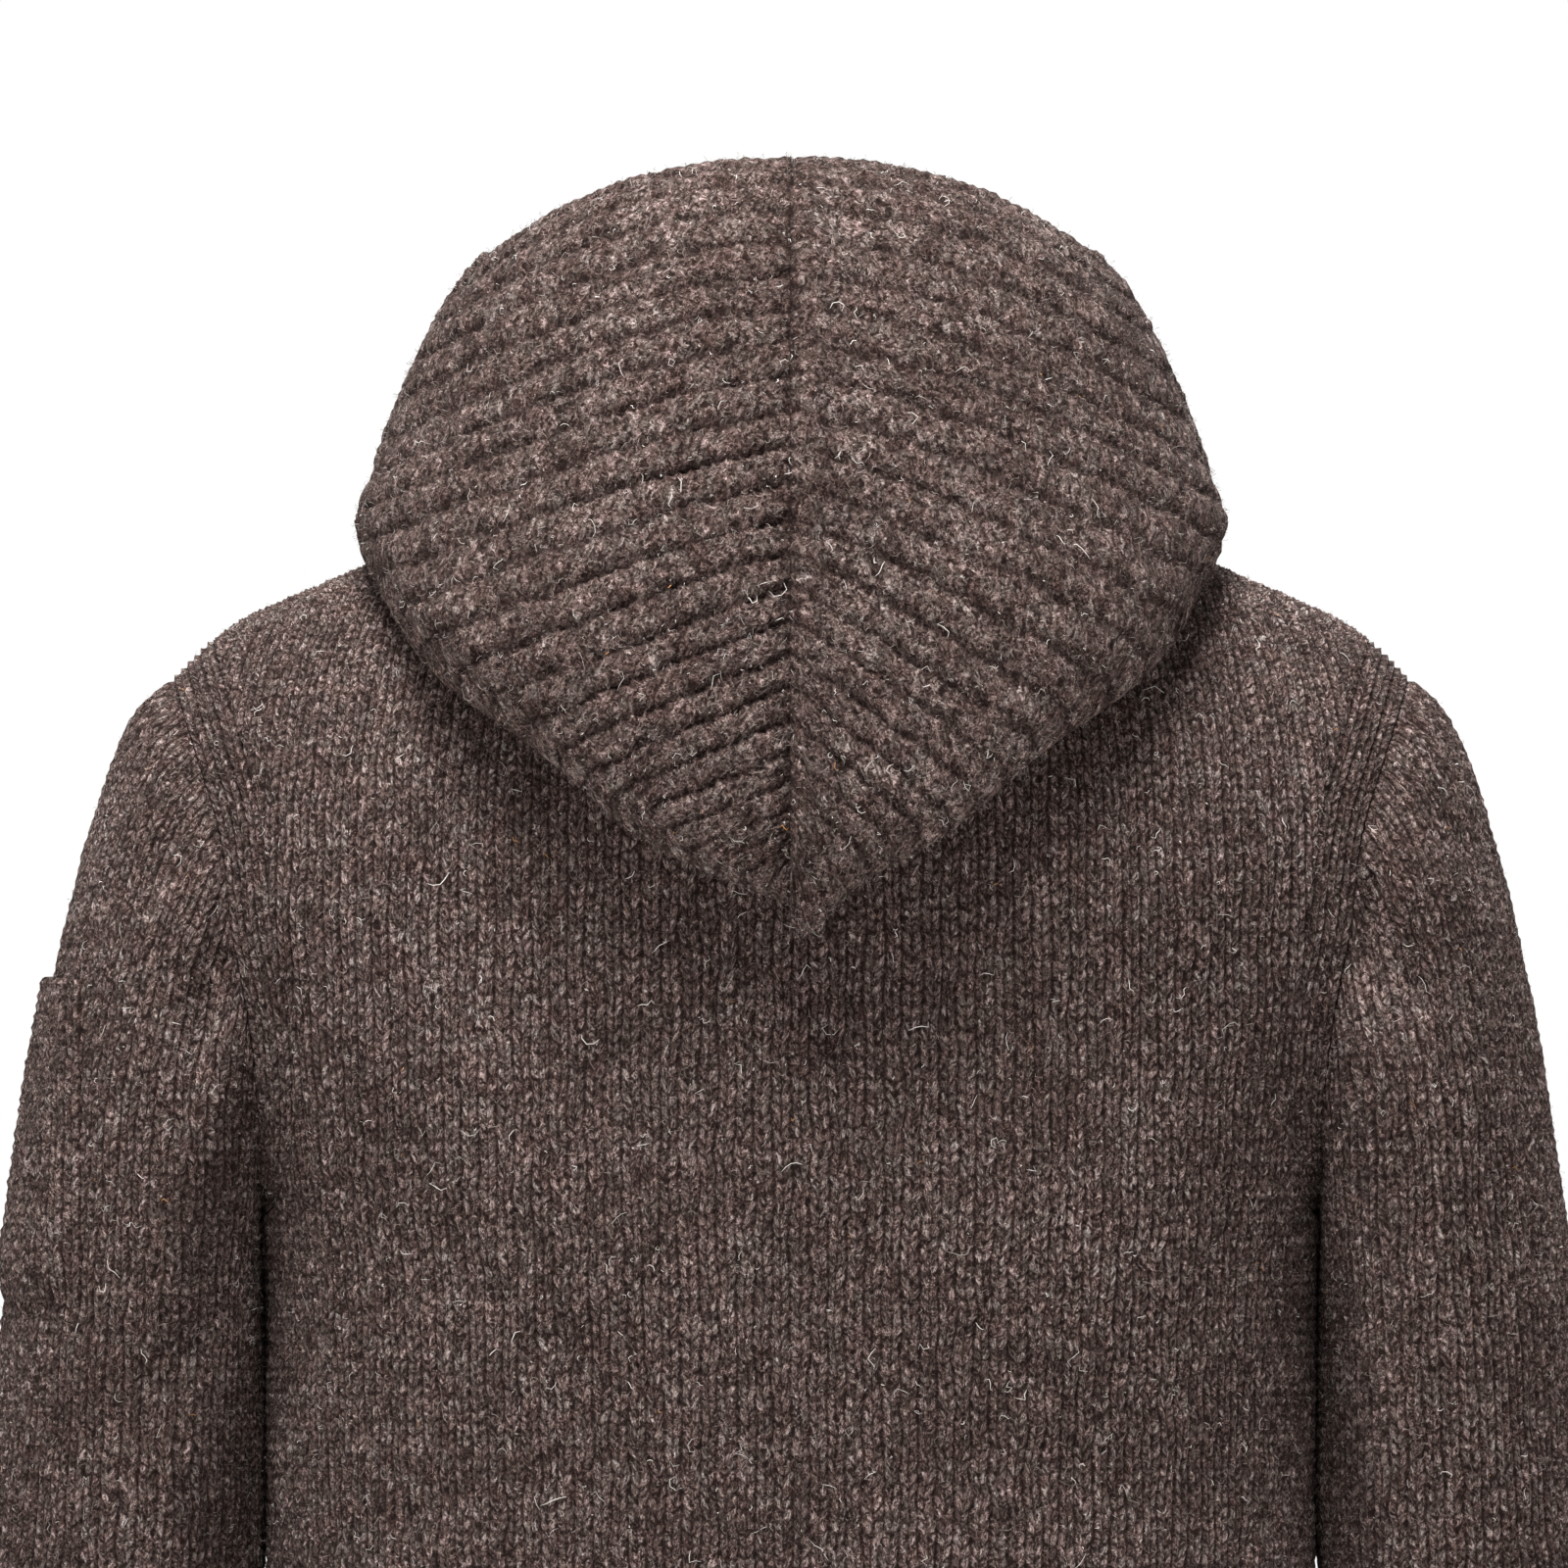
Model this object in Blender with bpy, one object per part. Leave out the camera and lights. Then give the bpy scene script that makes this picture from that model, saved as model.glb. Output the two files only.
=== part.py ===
"""A chunky wool cardigan with its hood worn down, filled out as if on a figure that isn't there.

Metres, +Z up. The front faces -Y and the back faces +Y, so +X is the wearer's left.
The origin is the middle of the neck, at the height where the hood meets the shoulders.
Every cloth piece is a closed wall: an outer skin worked out from sections, and an inner
skin one wall's thickness behind it. Neighbours share their seam line and are set back
from it by half a seam gap each.
"""

import math
from collections import namedtuple

import bmesh
import bpy
import numpy as np
from mathutils import Vector
from mathutils.bvhtree import BVHTree

# ---------------------------------------------------------------- driving dimensions

SEAM_GAP = 0.0003
BODY_WALL = 0.004
RIB_WALL = 0.0042
HOOD_WALL = 0.0030

UNDERARM_HEIGHT = -0.238
SHOULDER_HEIGHT = -0.041
SHOULDER_HALF_WIDTH = 0.2265
ARMHOLE_MIDDLE = (UNDERARM_HEIGHT + SHOULDER_HEIGHT) / 2
ARMHOLE_RADIUS = (SHOULDER_HEIGHT - UNDERARM_HEIGHT) / 2
ARMHOLE_DEPTH_SHARE = 0.535
SECTION_POWER = 2.6

NECK_HALF_WIDTH = 0.085
NECK_SIDE_HEIGHT = 0.032
NECK_DEPTH = {1: 0.066, -1: 0.108}
NECK_DROP = {1: 0.014, -1: 0.087}
NECK_DROP_POWER = 2.0
SHOULDER_SLOPE = 0.44
SHOULDER_TURN_START = 0.195
SHOULDER_TURN = 11.0

HEM_TOP = -0.615
HEM_BOTTOM = -0.680
OPENING_HALF_WIDTH = 0.018
RIB_PITCH = 0.0138
RIB_RIDGE = 0.0012
RIB_GROOVE = 0.0008

CUFF_RIBS = 17
HOOD_RIBS = 24
BAND_RIBS = 4
BAND_LEFT_EDGES = (-0.0178, 0.0225)
BAND_RIGHT_EDGES = (-0.0175, 0.0172)
BAND_LIFT = 0.0006

BUTTON_COUNT = 6
BUTTON_RADIUS = 0.011
BUTTON_THICKNESS = 0.0045
BUTTON_TOP = -0.085
BUTTON_BOTTOM = -0.640

POCKET_REAR_EDGE = 0.259
POCKET_TOP = -0.151
POCKET_HEIGHT = 0.118
POCKET_WIDTH = 0.105
POCKET_WALL = 0.0036
POCKET_CLEARANCE = 0.0006

# The torso, a row for each height: the half width its curve closes at, and its depth behind and
# before the shoulder line. Beside the armholes the curve is cut short by the seam.
TorsoRow = namedtuple("TorsoRow", "height half_width back front")
TORSO = (
    TorsoRow(-0.680, 0.1960, 0.127, 0.121),
    TorsoRow(-0.615, 0.2010, 0.132, 0.126),
    TorsoRow(-0.500, 0.1965, 0.124, 0.121),
    TorsoRow(-0.400, 0.1922, 0.118, 0.118),
    TorsoRow(-0.300, 0.1926, 0.120, 0.121),
    TorsoRow(-0.262, 0.1936, 0.123, 0.122),
    TorsoRow(-0.238, 0.1960, 0.125, 0.122),
    TorsoRow(-0.208, 0.2058, 0.126, 0.121),
    TorsoRow(-0.176, 0.2190, 0.127, 0.118),
    TorsoRow(-0.1395, 0.2308, 0.127, 0.116),
    TorsoRow(-0.095, 0.2380, 0.127, 0.116),
    TorsoRow(-0.070, 0.2470, 0.127, 0.116),
    TorsoRow(-0.041, 0.2579, 0.127, 0.116),
)

# The sleeve, a row for each ring: its outer and inner points seen from behind, its half depth
# behind and before its middle, and how far that middle lies in front of the shoulder line.
SleeveRow = namedtuple("SleeveRow", "outer_x outer_z inner_x inner_z back front forward")
SLEEVE = (
    SleeveRow(0.2265, -0.0410, 0.1960, -0.238, 0.0680, 0.0620, 0.000),
    SleeveRow(0.2385, -0.0515, 0.1968, -0.247, 0.0750, 0.0690, 0.000),
    SleeveRow(0.2465, -0.0660, 0.1966, -0.258, 0.0780, 0.0720, 0.000),
    SleeveRow(0.2535, -0.0860, 0.1965, -0.270, 0.0785, 0.0735, 0.001),
    SleeveRow(0.2612, -0.1120, 0.1961, -0.283, 0.0775, 0.0735, 0.002),
    SleeveRow(0.2685, -0.1430, 0.1956, -0.297, 0.0755, 0.0720, 0.003),
    SleeveRow(0.2752, -0.1770, 0.1950, -0.312, 0.0730, 0.0700, 0.004),
    SleeveRow(0.2806, -0.2130, 0.1946, -0.328, 0.0700, 0.0680, 0.005),
    SleeveRow(0.2862, -0.2520, 0.1942, -0.346, 0.0670, 0.0650, 0.006),
    SleeveRow(0.2915, -0.2940, 0.1946, -0.368, 0.0630, 0.0620, 0.008),
    SleeveRow(0.2968, -0.3380, 0.1980, -0.394, 0.0590, 0.0590, 0.011),
    SleeveRow(0.3015, -0.3830, 0.2055, -0.424, 0.0550, 0.0560, 0.016),
    SleeveRow(0.3055, -0.4280, 0.2150, -0.457, 0.0520, 0.0530, 0.023),
    SleeveRow(0.3090, -0.4730, 0.2250, -0.492, 0.0490, 0.0500, 0.032),
    SleeveRow(0.3118, -0.5180, 0.2345, -0.529, 0.0460, 0.0470, 0.042),
    SleeveRow(0.3140, -0.5600, 0.2425, -0.566, 0.0430, 0.0440, 0.052),
    SleeveRow(0.3148, -0.5950, 0.2480, -0.600, 0.0390, 0.0400, 0.060),
    SleeveRow(0.3145, -0.6300, 0.2495, -0.634, 0.0370, 0.0380, 0.068),
)
SLEEVE_END = 15
ARMHOLE_FADE = 4

# The hood's left half, a row for each rib line from the face edge (0) to the back seam (1).
# Each line leaves the centre seam, arches to its side turn, folds, and rests on the body.
HoodRow = namedtuple(
    "HoodRow",
    "share seam_y seam_z arch turn_x turn_y turn_z fold_x fold_y fold_z rest_x rest_y rest_z",
)
HOOD = (
    HoodRow(0.00, 0.055, 0.140, 2.4, 0.104, 0.000, 0.104, 0.108, -0.062, 0.040, 0.078, -0.098, -0.005),
    HoodRow(0.07, 0.082, 0.148, 2.4, 0.116, 0.012, 0.114, 0.122, -0.062, 0.020, 0.088, -0.092, -0.010),
    HoodRow(0.14, 0.107, 0.141, 2.3, 0.125, 0.020, 0.104, 0.130, -0.060, 0.010, 0.093, -0.082, -0.008),
    HoodRow(0.22, 0.128, 0.118, 2.1, 0.135, 0.026, 0.080, 0.138, -0.050, 0.006, 0.099, -0.068, 0.000),
    HoodRow(0.32, 0.142, 0.086, 1.8, 0.147, 0.028, 0.046, 0.148, -0.028, 0.007, 0.108, -0.040, 0.014),
    HoodRow(0.43, 0.152, 0.048, 1.4, 0.158, 0.034, 0.014, 0.155, 0.018, 0.008, 0.118, 0.006, 0.018),
    HoodRow(0.56, 0.158, 0.003, 1.2, 0.134, 0.104, -0.023, 0.134, 0.0875, -0.0345, 0.106, 0.066, 0.000),
    HoodRow(0.70, 0.160, -0.043, 1.15, 0.0915, 0.134, -0.060, 0.0915, 0.1235, -0.068, 0.072, 0.101, -0.022),
    HoodRow(0.85, 0.156, -0.088, 1.1, 0.050, 0.149, -0.0935, 0.050, 0.138, -0.1015, 0.038, 0.120, -0.055),
    HoodRow(1.00, 0.151, -0.111, 1.0, 0.000, 0.1475, -0.118, 0.000, 0.139, -0.1225, 0.000, 0.122, -0.058),
)
HOOD_ARC_STEPS = 6
HOOD_LINE_STOPS = (6.5, 7, 7.5, 8, 8.4, 8.8, 9.15, 9.45, 9.75, 10)
HOOD_SLANT = {1: 0.0, -1: 0.055}
HOOD_TIP_DROOP = {1: 0.0, -1: 0.008}
HOOD_FRONT_EDGE = 0.0245
HOOD_LAP = 0.003
HOOD_NECK_LIFT = 0.002
HOOD_SEAM_EASE = 4.0
HOOD_CLEARANCE = 0.0017
HOOD_SETTLE_PASSES = 8

Cloth = namedtuple("Cloth", "name colour roughness")
PLAIN_KNIT = Cloth("plain_knit_wool", (0.082, 0.058, 0.052), 0.95)
RIB_KNIT = Cloth("ribbed_wool", (0.078, 0.055, 0.049), 0.95)
HOOD_KNIT = Cloth("brushed_ribbed_wool", (0.112, 0.083, 0.076), 0.97)
BUTTON_HORN = Cloth("dark_horn", (0.030, 0.017, 0.010), 0.35)

# ---------------------------------------------------------------- small tools


def through(knots, values, at):
    """Smooth curve through a table's rows, read at one place or at several."""
    knots = np.asarray(knots, float)
    values = np.asarray(values, float).reshape(len(knots), -1)
    slopes = np.gradient(values, knots, axis=0)
    at = np.atleast_1d(np.asarray(at, float))
    index = np.clip(np.searchsorted(knots, at, side="right") - 1, 0, len(knots) - 2)
    width = (knots[index + 1] - knots[index])[:, None]
    t = (at[:, None] - knots[index][:, None]) / width
    start, end = values[index], values[index + 1]
    leave, arrive = slopes[index] * width, slopes[index + 1] * width
    return (
        start * (2 * t**3 - 3 * t**2 + 1)
        + leave * (t**3 - 2 * t**2 + t)
        + end * (3 * t**2 - 2 * t**3)
        + arrive * (t**3 - t**2)
    )


def unit(vectors):
    vectors = np.asarray(vectors, float)
    return vectors / np.maximum(np.linalg.norm(vectors, axis=-1, keepdims=True), 1e-12)


def ease(value, start, end):
    share = np.clip((value - start) / (end - start), 0, 1)
    return share * share * (3 - 2 * share)


def directions(grid, axis, ring=False):
    """Direction of the grid's lines at every point, halfway between the two steps that meet there."""
    if ring:
        ahead = unit(np.roll(grid, -1, axis=axis) - grid)
        return unit(ahead + np.roll(ahead, 1, axis=axis))
    grid = np.moveaxis(grid, axis, 0)
    steps = unit(np.diff(grid, axis=0))
    lines = np.concatenate([steps[:1], steps[:-1] + steps[1:], steps[-1:]])
    return np.moveaxis(unit(lines), 0, axis)


def grid_normals(grid, sign, ring=False):
    return unit(np.cross(directions(grid, 0), directions(grid, 1, ring))) * sign


def evened(normals):
    """Each normal turned towards its neighbours', so that a wall doesn't cross itself in a tight fold."""
    padded = np.pad(normals, ((1, 1), (1, 1), (0, 0)), mode="edge")
    around = padded[:-2, 1:-1] + padded[2:, 1:-1] + padded[1:-1, :-2] + padded[1:-1, 2:]
    return unit(normals * 2 + around)


def mirrored(points):
    return points * np.array([-1.0, 1.0, 1.0])


def make_material(cloth):
    material = bpy.data.materials.get(cloth.name) or bpy.data.materials.new(cloth.name)
    material.use_nodes = True
    shader = material.node_tree.nodes["Principled BSDF"]
    shader.inputs["Base Color"].default_value = (*cloth.colour, 1.0)
    shader.inputs["Roughness"].default_value = cloth.roughness
    return material


def finish_object(name, form, cloth, collection):
    bmesh.ops.recalc_face_normals(form, faces=form.faces)
    mesh = bpy.data.meshes.new(name)
    form.to_mesh(mesh)
    form.free()
    mesh.materials.append(make_material(cloth))
    mesh.shade_smooth()
    piece = bpy.data.objects.new(name, mesh)
    collection.objects.link(piece)
    return piece


def wall(name, outer, inner, cloth, collection, ring=False):
    """Closed cloth wall between two skins of matching points, open or joined into a ring."""
    form = bmesh.new()
    skins = [[[form.verts.new(point) for point in line] for line in skin] for skin in (outer, inner)]
    rows, columns = outer.shape[:2]
    spans = columns if ring else columns - 1
    for skin in skins:
        for i in range(rows - 1):
            for j in range(spans):
                k = (j + 1) % columns
                form.faces.new((skin[i][j], skin[i][k], skin[i + 1][k], skin[i + 1][j]))
    over, under = skins
    for i in (0, rows - 1):
        for j in range(spans):
            k = (j + 1) % columns
            form.faces.new((over[i][j], over[i][k], under[i][k], under[i][j]))
    if not ring:
        for j in (0, columns - 1):
            for i in range(rows - 1):
                form.faces.new((over[i][j], over[i + 1][j], under[i + 1][j], under[i][j]))
    return finish_object(name, form, cloth, collection)


# ---------------------------------------------------------------- the body's surface

# A level is one row of knitting across a panel. Under the arm it has one height. From the
# underarm up it is an angle round the armhole: -90 at the underarm, 90 at the shoulder tip.
Level = namedtuple("Level", "height angle")
LOWER_HEIGHTS = (-0.560, -0.505, -0.450, -0.395, -0.340, -0.290, -0.256)
BACK_ANGLES = (-90, -66, -44, -22, 0, 15, 30, 45, 60, 75, 90)


def armhole_level(angle):
    return Level(ARMHOLE_MIDDLE + ARMHOLE_RADIUS * math.sin(math.radians(angle)), angle)


PANEL_LEVELS = (
    [Level(HEM_TOP, -90)]
    + [Level(height, -90) for height in LOWER_HEIGHTS]
    + [armhole_level(angle) for angle in BACK_ANGLES]
)
UNDERARM_ROW = 1 + len(LOWER_HEIGHTS)


def torso_at(height):
    table = np.array(TORSO)
    return through(table[:, 0], table[:, 1:], height)[0]


def shoulder_height(x):
    turned = max(0.0, x - SHOULDER_TURN_START)
    return NECK_SIDE_HEIGHT - SHOULDER_SLOPE * (x - NECK_HALF_WIDTH) - SHOULDER_TURN * turned**2


NECK_SHARE = NECK_HALF_WIDTH / SHOULDER_HALF_WIDTH


def top_edge(share, face):
    """Depth and height of a panel's top edge: the neckline near the middle, then the shoulder seam."""
    if share >= NECK_SHARE:
        return 0.0, shoulder_height(share * SHOULDER_HALF_WIDTH)
    inward = math.sqrt(1 - (share / NECK_SHARE) ** 2)
    return NECK_DEPTH[face] * inward, NECK_SIDE_HEIGHT - NECK_DROP[face] * inward**NECK_DROP_POWER


def seam_share(level):
    """How far round its curve the body is cut by the side seam (1) or by the armhole (less)."""
    depth = ARMHOLE_DEPTH_SHARE * math.cos(math.radians(min(level.angle, 0.0)))
    return (1 - depth**2) ** (1 / SECTION_POWER)


def half_width(level):
    return torso_at(level.height)[0] * seam_share(level)


def body_point(share, level, face):
    """Outer surface of the body: share across (0 middle, 1 side), level up, face 1 back or -1 front."""
    width, back, front = torso_at(level.height)
    depth = back if face > 0 else front
    across = abs(share) * seam_share(level)
    y = depth * math.sqrt(max(0.0, 1 - across**SECTION_POWER))
    z = level.height
    if level.angle > 0:
        angle = math.radians(level.angle)
        top_y, top_z = top_edge(abs(share), face)
        z = ARMHOLE_MIDDLE + (top_z - ARMHOLE_MIDDLE) * math.sin(angle)
        y = top_y + (y - top_y) * math.cos(angle)
    return np.array([math.copysign(across, share) * width, face * y, z])


def armhole_frame(angle, face):
    """Point, outward normal and way towards the sleeve on the left armhole seam."""
    near = [armhole_level(min(90, max(-90, angle + step))) for step in (-1, 1)]
    along = unit(body_point(1.0, near[1], face) - body_point(1.0, near[0], face))
    rise, reach = math.sin(math.radians(angle)), math.cos(math.radians(angle))
    if abs(angle) == 90:
        along = np.array([0.0, -face * math.copysign(1.0, angle), 0.0])
    normal = unit(np.cross(along, (1.0, 0.0, 0.0))) * face
    normal = unit(normal + np.array([0.45 * max(0.0, rise) ** 2 + 0.10 * reach, 0.0, 0.0]))
    across = np.cross(along, normal)
    across *= math.copysign(1.0, across[0])
    return body_point(1.0, armhole_level(angle), face), normal, across


def panel_shares(level, opening, neck_steps=4, side_steps=7):
    """Columns of half a panel, closer together at the neck's side and at the side seam."""
    first = opening / half_width(level)
    neck = [first + (NECK_SHARE - first) * math.sin(math.pi / 2 * i / neck_steps) for i in range(neck_steps)]
    side = [
        NECK_SHARE + (1 - NECK_SHARE) * math.sin(math.pi / 2 * i / side_steps)
        for i in range(side_steps + 1)
    ]
    return neck + side


def panel(levels, face, opening=None):
    """Outer points and normals of the back (no opening) or of the left front."""
    lines = []
    for level in levels:
        half = panel_shares(level, opening or 0.0)
        shares = half if opening else [-share for share in half[:0:-1]] + half
        lines.append([body_point(share, level, face) for share in shares])
    outer = np.array(lines)
    normals = grid_normals(outer, face)
    half_gap = SEAM_GAP / 2
    for i, level in enumerate(levels):
        for column, sign in ((-1, 1.0),) if opening else ((-1, 1.0), (0, -1.0)):
            flip = np.array([sign, 1.0, 1.0])
            if level.height > UNDERARM_HEIGHT - 1e-6:
                point, normal, across = armhole_frame(level.angle, face)
                outer[i, column] = (point - across * half_gap) * flip
                normals[i, column] = normal * flip
            else:
                normals[i, column] = (sign, 0.0, 0.0)
            if level.angle == -90:
                outer[i, column, 1] += face * half_gap
    normals[0, :, 2] = 0.0
    shoulder = abs(outer[-1, :, 0]) > NECK_HALF_WIDTH - 1e-5
    normals[-1, ~shoulder] = normals[-2, ~shoulder]
    normals[-1, shoulder, 1] = 0.0
    outer[-1, shoulder, 1] += face * half_gap
    if opening:
        normals[:, 0, 0] = 0.0
    return outer, unit(normals)


def build_panels(collection):
    outer, normals = panel(PANEL_LEVELS, 1)
    wall("back", outer, outer - normals * BODY_WALL, PLAIN_KNIT, collection)
    outer, normals = panel(PANEL_LEVELS, -1, OPENING_HALF_WIDTH)
    inner = outer - normals * BODY_WALL
    wall("front_left", outer, inner, PLAIN_KNIT, collection)
    wall("front_right", mirrored(outer), mirrored(inner), PLAIN_KNIT, collection)


# ---------------------------------------------------------------- ribbed hem


def evenly(points, count):
    """The same line with its points evenly spaced along it."""
    along = np.concatenate([[0], np.cumsum(np.linalg.norm(np.diff(points, axis=0), axis=1))])
    places = np.linspace(0, along[-1], count)
    return np.stack([np.interp(places, along, points[:, axis]) for axis in range(3)], axis=1)


def rib_relief(count):
    """Height of a rib's ridges and grooves at each column; the two edges stay level."""
    relief = np.where(np.arange(count) % 2 == 1, RIB_RIDGE, -RIB_GROOVE)
    relief[0] = relief[-1] = 0.0
    return relief


def hem(face, opening):
    """Outer and inner points of one stretch of the hem, with upright ribs."""
    lines = []
    for height in (HEM_BOTTOM, HEM_TOP - SEAM_GAP):
        first = opening / half_width(Level(height, -90)) if opening else -1.0
        sweep = np.linspace(math.asin(first), math.pi / 2, 160)
        shares = np.sign(np.sin(sweep)) * abs(np.sin(sweep)) ** (2 / SECTION_POWER) if not opening else (
            np.linspace(0, 1, 160) ** 0.6 * (1 - first) + first
        )
        dense = np.array([body_point(share, Level(height, -90), face) for share in shares])
        length = np.linalg.norm(np.diff(dense, axis=0), axis=1).sum()
        columns = 2 * round(length / RIB_PITCH) + 1 if not lines else len(lines[0])
        lines.append(evenly(dense, columns))
    outer = np.array(lines)
    normals = grid_normals(outer, face)
    normals[:, -1] = (1.0, 0.0, 0.0)
    if not opening:
        normals[:, 0] = (-1.0, 0.0, 0.0)
    else:
        normals[:, 0, 0] = 0.0
    normals[..., 2] = 0.0
    normals = unit(normals)
    outer[:, -1, 1] += face * SEAM_GAP / 2
    relief = rib_relief(outer.shape[1])
    if opening:
        relief[1] = 0.0
    else:
        outer[:, 0, 1] += face * SEAM_GAP / 2
    inner = outer - normals * BODY_WALL
    return outer + normals * relief[None, :, None], inner


def build_hem(collection):
    wall("hem_back", *hem(1, None), RIB_KNIT, collection)
    outer, inner = hem(-1, OPENING_HALF_WIDTH)
    wall("hem_front_left", outer, inner, RIB_KNIT, collection)
    wall("hem_front_right", mirrored(outer), mirrored(inner), RIB_KNIT, collection)


# ---------------------------------------------------------------- sleeves, cuffs, sleeve pocket

RING_ANGLES = list(BACK_ANGLES) + [180 - angle for angle in BACK_ANGLES[-2:0:-1]]
SLEEVE_TABLE = np.array(SLEEVE)


def sleeve_point(ring, angle):
    """Outer surface of the left sleeve: ring down the arm, angle round it (90 outer, 0 back)."""
    rings = np.arange(len(SLEEVE_TABLE))
    row = through(rings, SLEEVE_TABLE, ring)[0]
    outer_x, outer_z, inner_x, inner_z, back, front, forward = row
    rise, reach = math.sin(math.radians(angle)), math.cos(math.radians(angle))
    x = (outer_x + inner_x) / 2 + (outer_x - inner_x) / 2 * rise
    z = (outer_z + inner_z) / 2 + (outer_z - inner_z) / 2 * rise
    depth = (back if reach > 0 else front) * reach
    fade = 1 - ease(ring, 0, ARMHOLE_FADE)
    if fade > 0:
        first = SLEEVE[0]
        straight = (first.outer_x + first.inner_x) / 2 + (first.outer_x - first.inner_x) / 2 * rise
        x += fade * (half_width(armhole_level(angle if angle <= 90 else 180 - angle)) - straight)
    slopes = np.gradient(SLEEVE_TABLE[:, 6], (SLEEVE_TABLE[:, 1] + SLEEVE_TABLE[:, 3]) / 2)
    lean = np.interp(ring, rings, slopes)
    return np.array([x, depth - forward, z + lean * depth])


def seat_in_plane(points, normals):
    """Turn a ring's normals into its own plane, so that the two walls meet face to face."""
    axis = unit(np.cross(points[4] - points[0], points[-4] - points[0]))
    return unit(normals - (normals @ axis)[:, None] * axis), axis


def sleeve_grid(rings, angles):
    outer = np.array([[sleeve_point(ring, angle) for angle in angles] for ring in rings])
    normals = grid_normals(outer, -1, ring=True)
    return outer, normals


def build_sleeves(collection):
    outer, normals = sleeve_grid(range(SLEEVE_END + 1), RING_ANGLES)
    for j, angle in enumerate(RING_ANGLES):
        face = 1 if angle <= 90 else -1
        point, normal, across = armhole_frame(angle if face > 0 else 180 - angle, face)
        outer[0, j] = point + across * SEAM_GAP / 2
        normals[0, j] = normal
    normals[-1], axis = seat_in_plane(outer[-1], normals[-1])
    inner = outer - normals * BODY_WALL
    wall("sleeve_left", outer, inner, PLAIN_KNIT, collection, ring=True)
    wall("sleeve_right", mirrored(outer), mirrored(inner), PLAIN_KNIT, collection, ring=True)

    angles = [-90 + 360 * j / (2 * CUFF_RIBS) for j in range(2 * CUFF_RIBS)]
    outer, normals = sleeve_grid((SLEEVE_END, SLEEVE_END + 1, SLEEVE_END + 2), angles)
    away = unit(outer[-1].mean(axis=0) - outer[0].mean(axis=0))
    outer[0] += away * SEAM_GAP
    for i in (0, -1):
        normals[i], axis = seat_in_plane(outer[i], normals[i])
    inner = outer - normals * RIB_WALL
    ribs = np.where(np.arange(len(angles)) % 2 == 1, RIB_RIDGE, -RIB_GROOVE)
    outer = outer + normals * ribs[None, :, None]
    wall("cuff_left", outer, inner, RIB_KNIT, collection, ring=True)
    wall("cuff_right", mirrored(outer), mirrored(inner), RIB_KNIT, collection, ring=True)


def sleeve_at_height(height, angle):
    """The sleeve's surface where the line at one angle crosses a height."""
    high, low = 0.0, float(SLEEVE_END)
    for _ in range(30):
        middle = (high + low) / 2
        if sleeve_point(middle, angle)[2] > height:
            high = middle
        else:
            low = middle
    return sleeve_point(middle, angle)


def build_pocket(collection, rows=8, columns=9):
    """Patch pocket on the left sleeve: an upright rear edge, then round the arm to the front."""
    lines = []
    for i in range(rows):
        height = POCKET_TOP - POCKET_HEIGHT * i / (rows - 1)
        section = np.array([sleeve_at_height(height, angle) for angle in range(10, 171, 2)])
        along = np.concatenate([[0], np.cumsum(np.linalg.norm(np.diff(section, axis=0), axis=1))])
        rear = np.interp(POCKET_REAR_EDGE, section[:35, 0], along[:35])
        places = np.linspace(rear, rear + POCKET_WIDTH, columns)
        lines.append([[np.interp(place, along, section[:, axis]) for axis in range(3)] for place in places])
    base = np.array(lines)
    normals = grid_normals(base, -1)
    inner = base + normals * POCKET_CLEARANCE
    wall("sleeve_pocket", inner + normals * POCKET_WALL, inner, PLAIN_KNIT, collection)


# ---------------------------------------------------------------- button bands and buttons


def band(edges, columns):
    """Front surface under a band, from the hem's lower edge to the neckline."""
    levels = [Level(HEM_BOTTOM, -90)] + PANEL_LEVELS
    lines = []
    for level in levels:
        shares = np.linspace(*edges, columns) / half_width(level)
        lines.append([body_point(share, level, -1) for share in shares])
    base = np.array(lines)
    return base, grid_normals(base, -1)


def build_bands(collection):
    base, normals = band(BAND_RIGHT_EDGES, 3)
    normals[:, (0, -1), 0] = 0.0
    normals = unit(normals)
    wall("band_right", base, base - normals * BODY_WALL, RIB_KNIT, collection)
    columns = 2 * BAND_RIBS + 1
    base, normals = band(BAND_LEFT_EDGES, columns)
    inner = base + normals * BAND_LIFT
    outer = inner + normals * (RIB_WALL + rib_relief(columns)[None, :, None])
    wall("band_left", outer, inner, RIB_KNIT, collection)
    return outer


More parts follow.
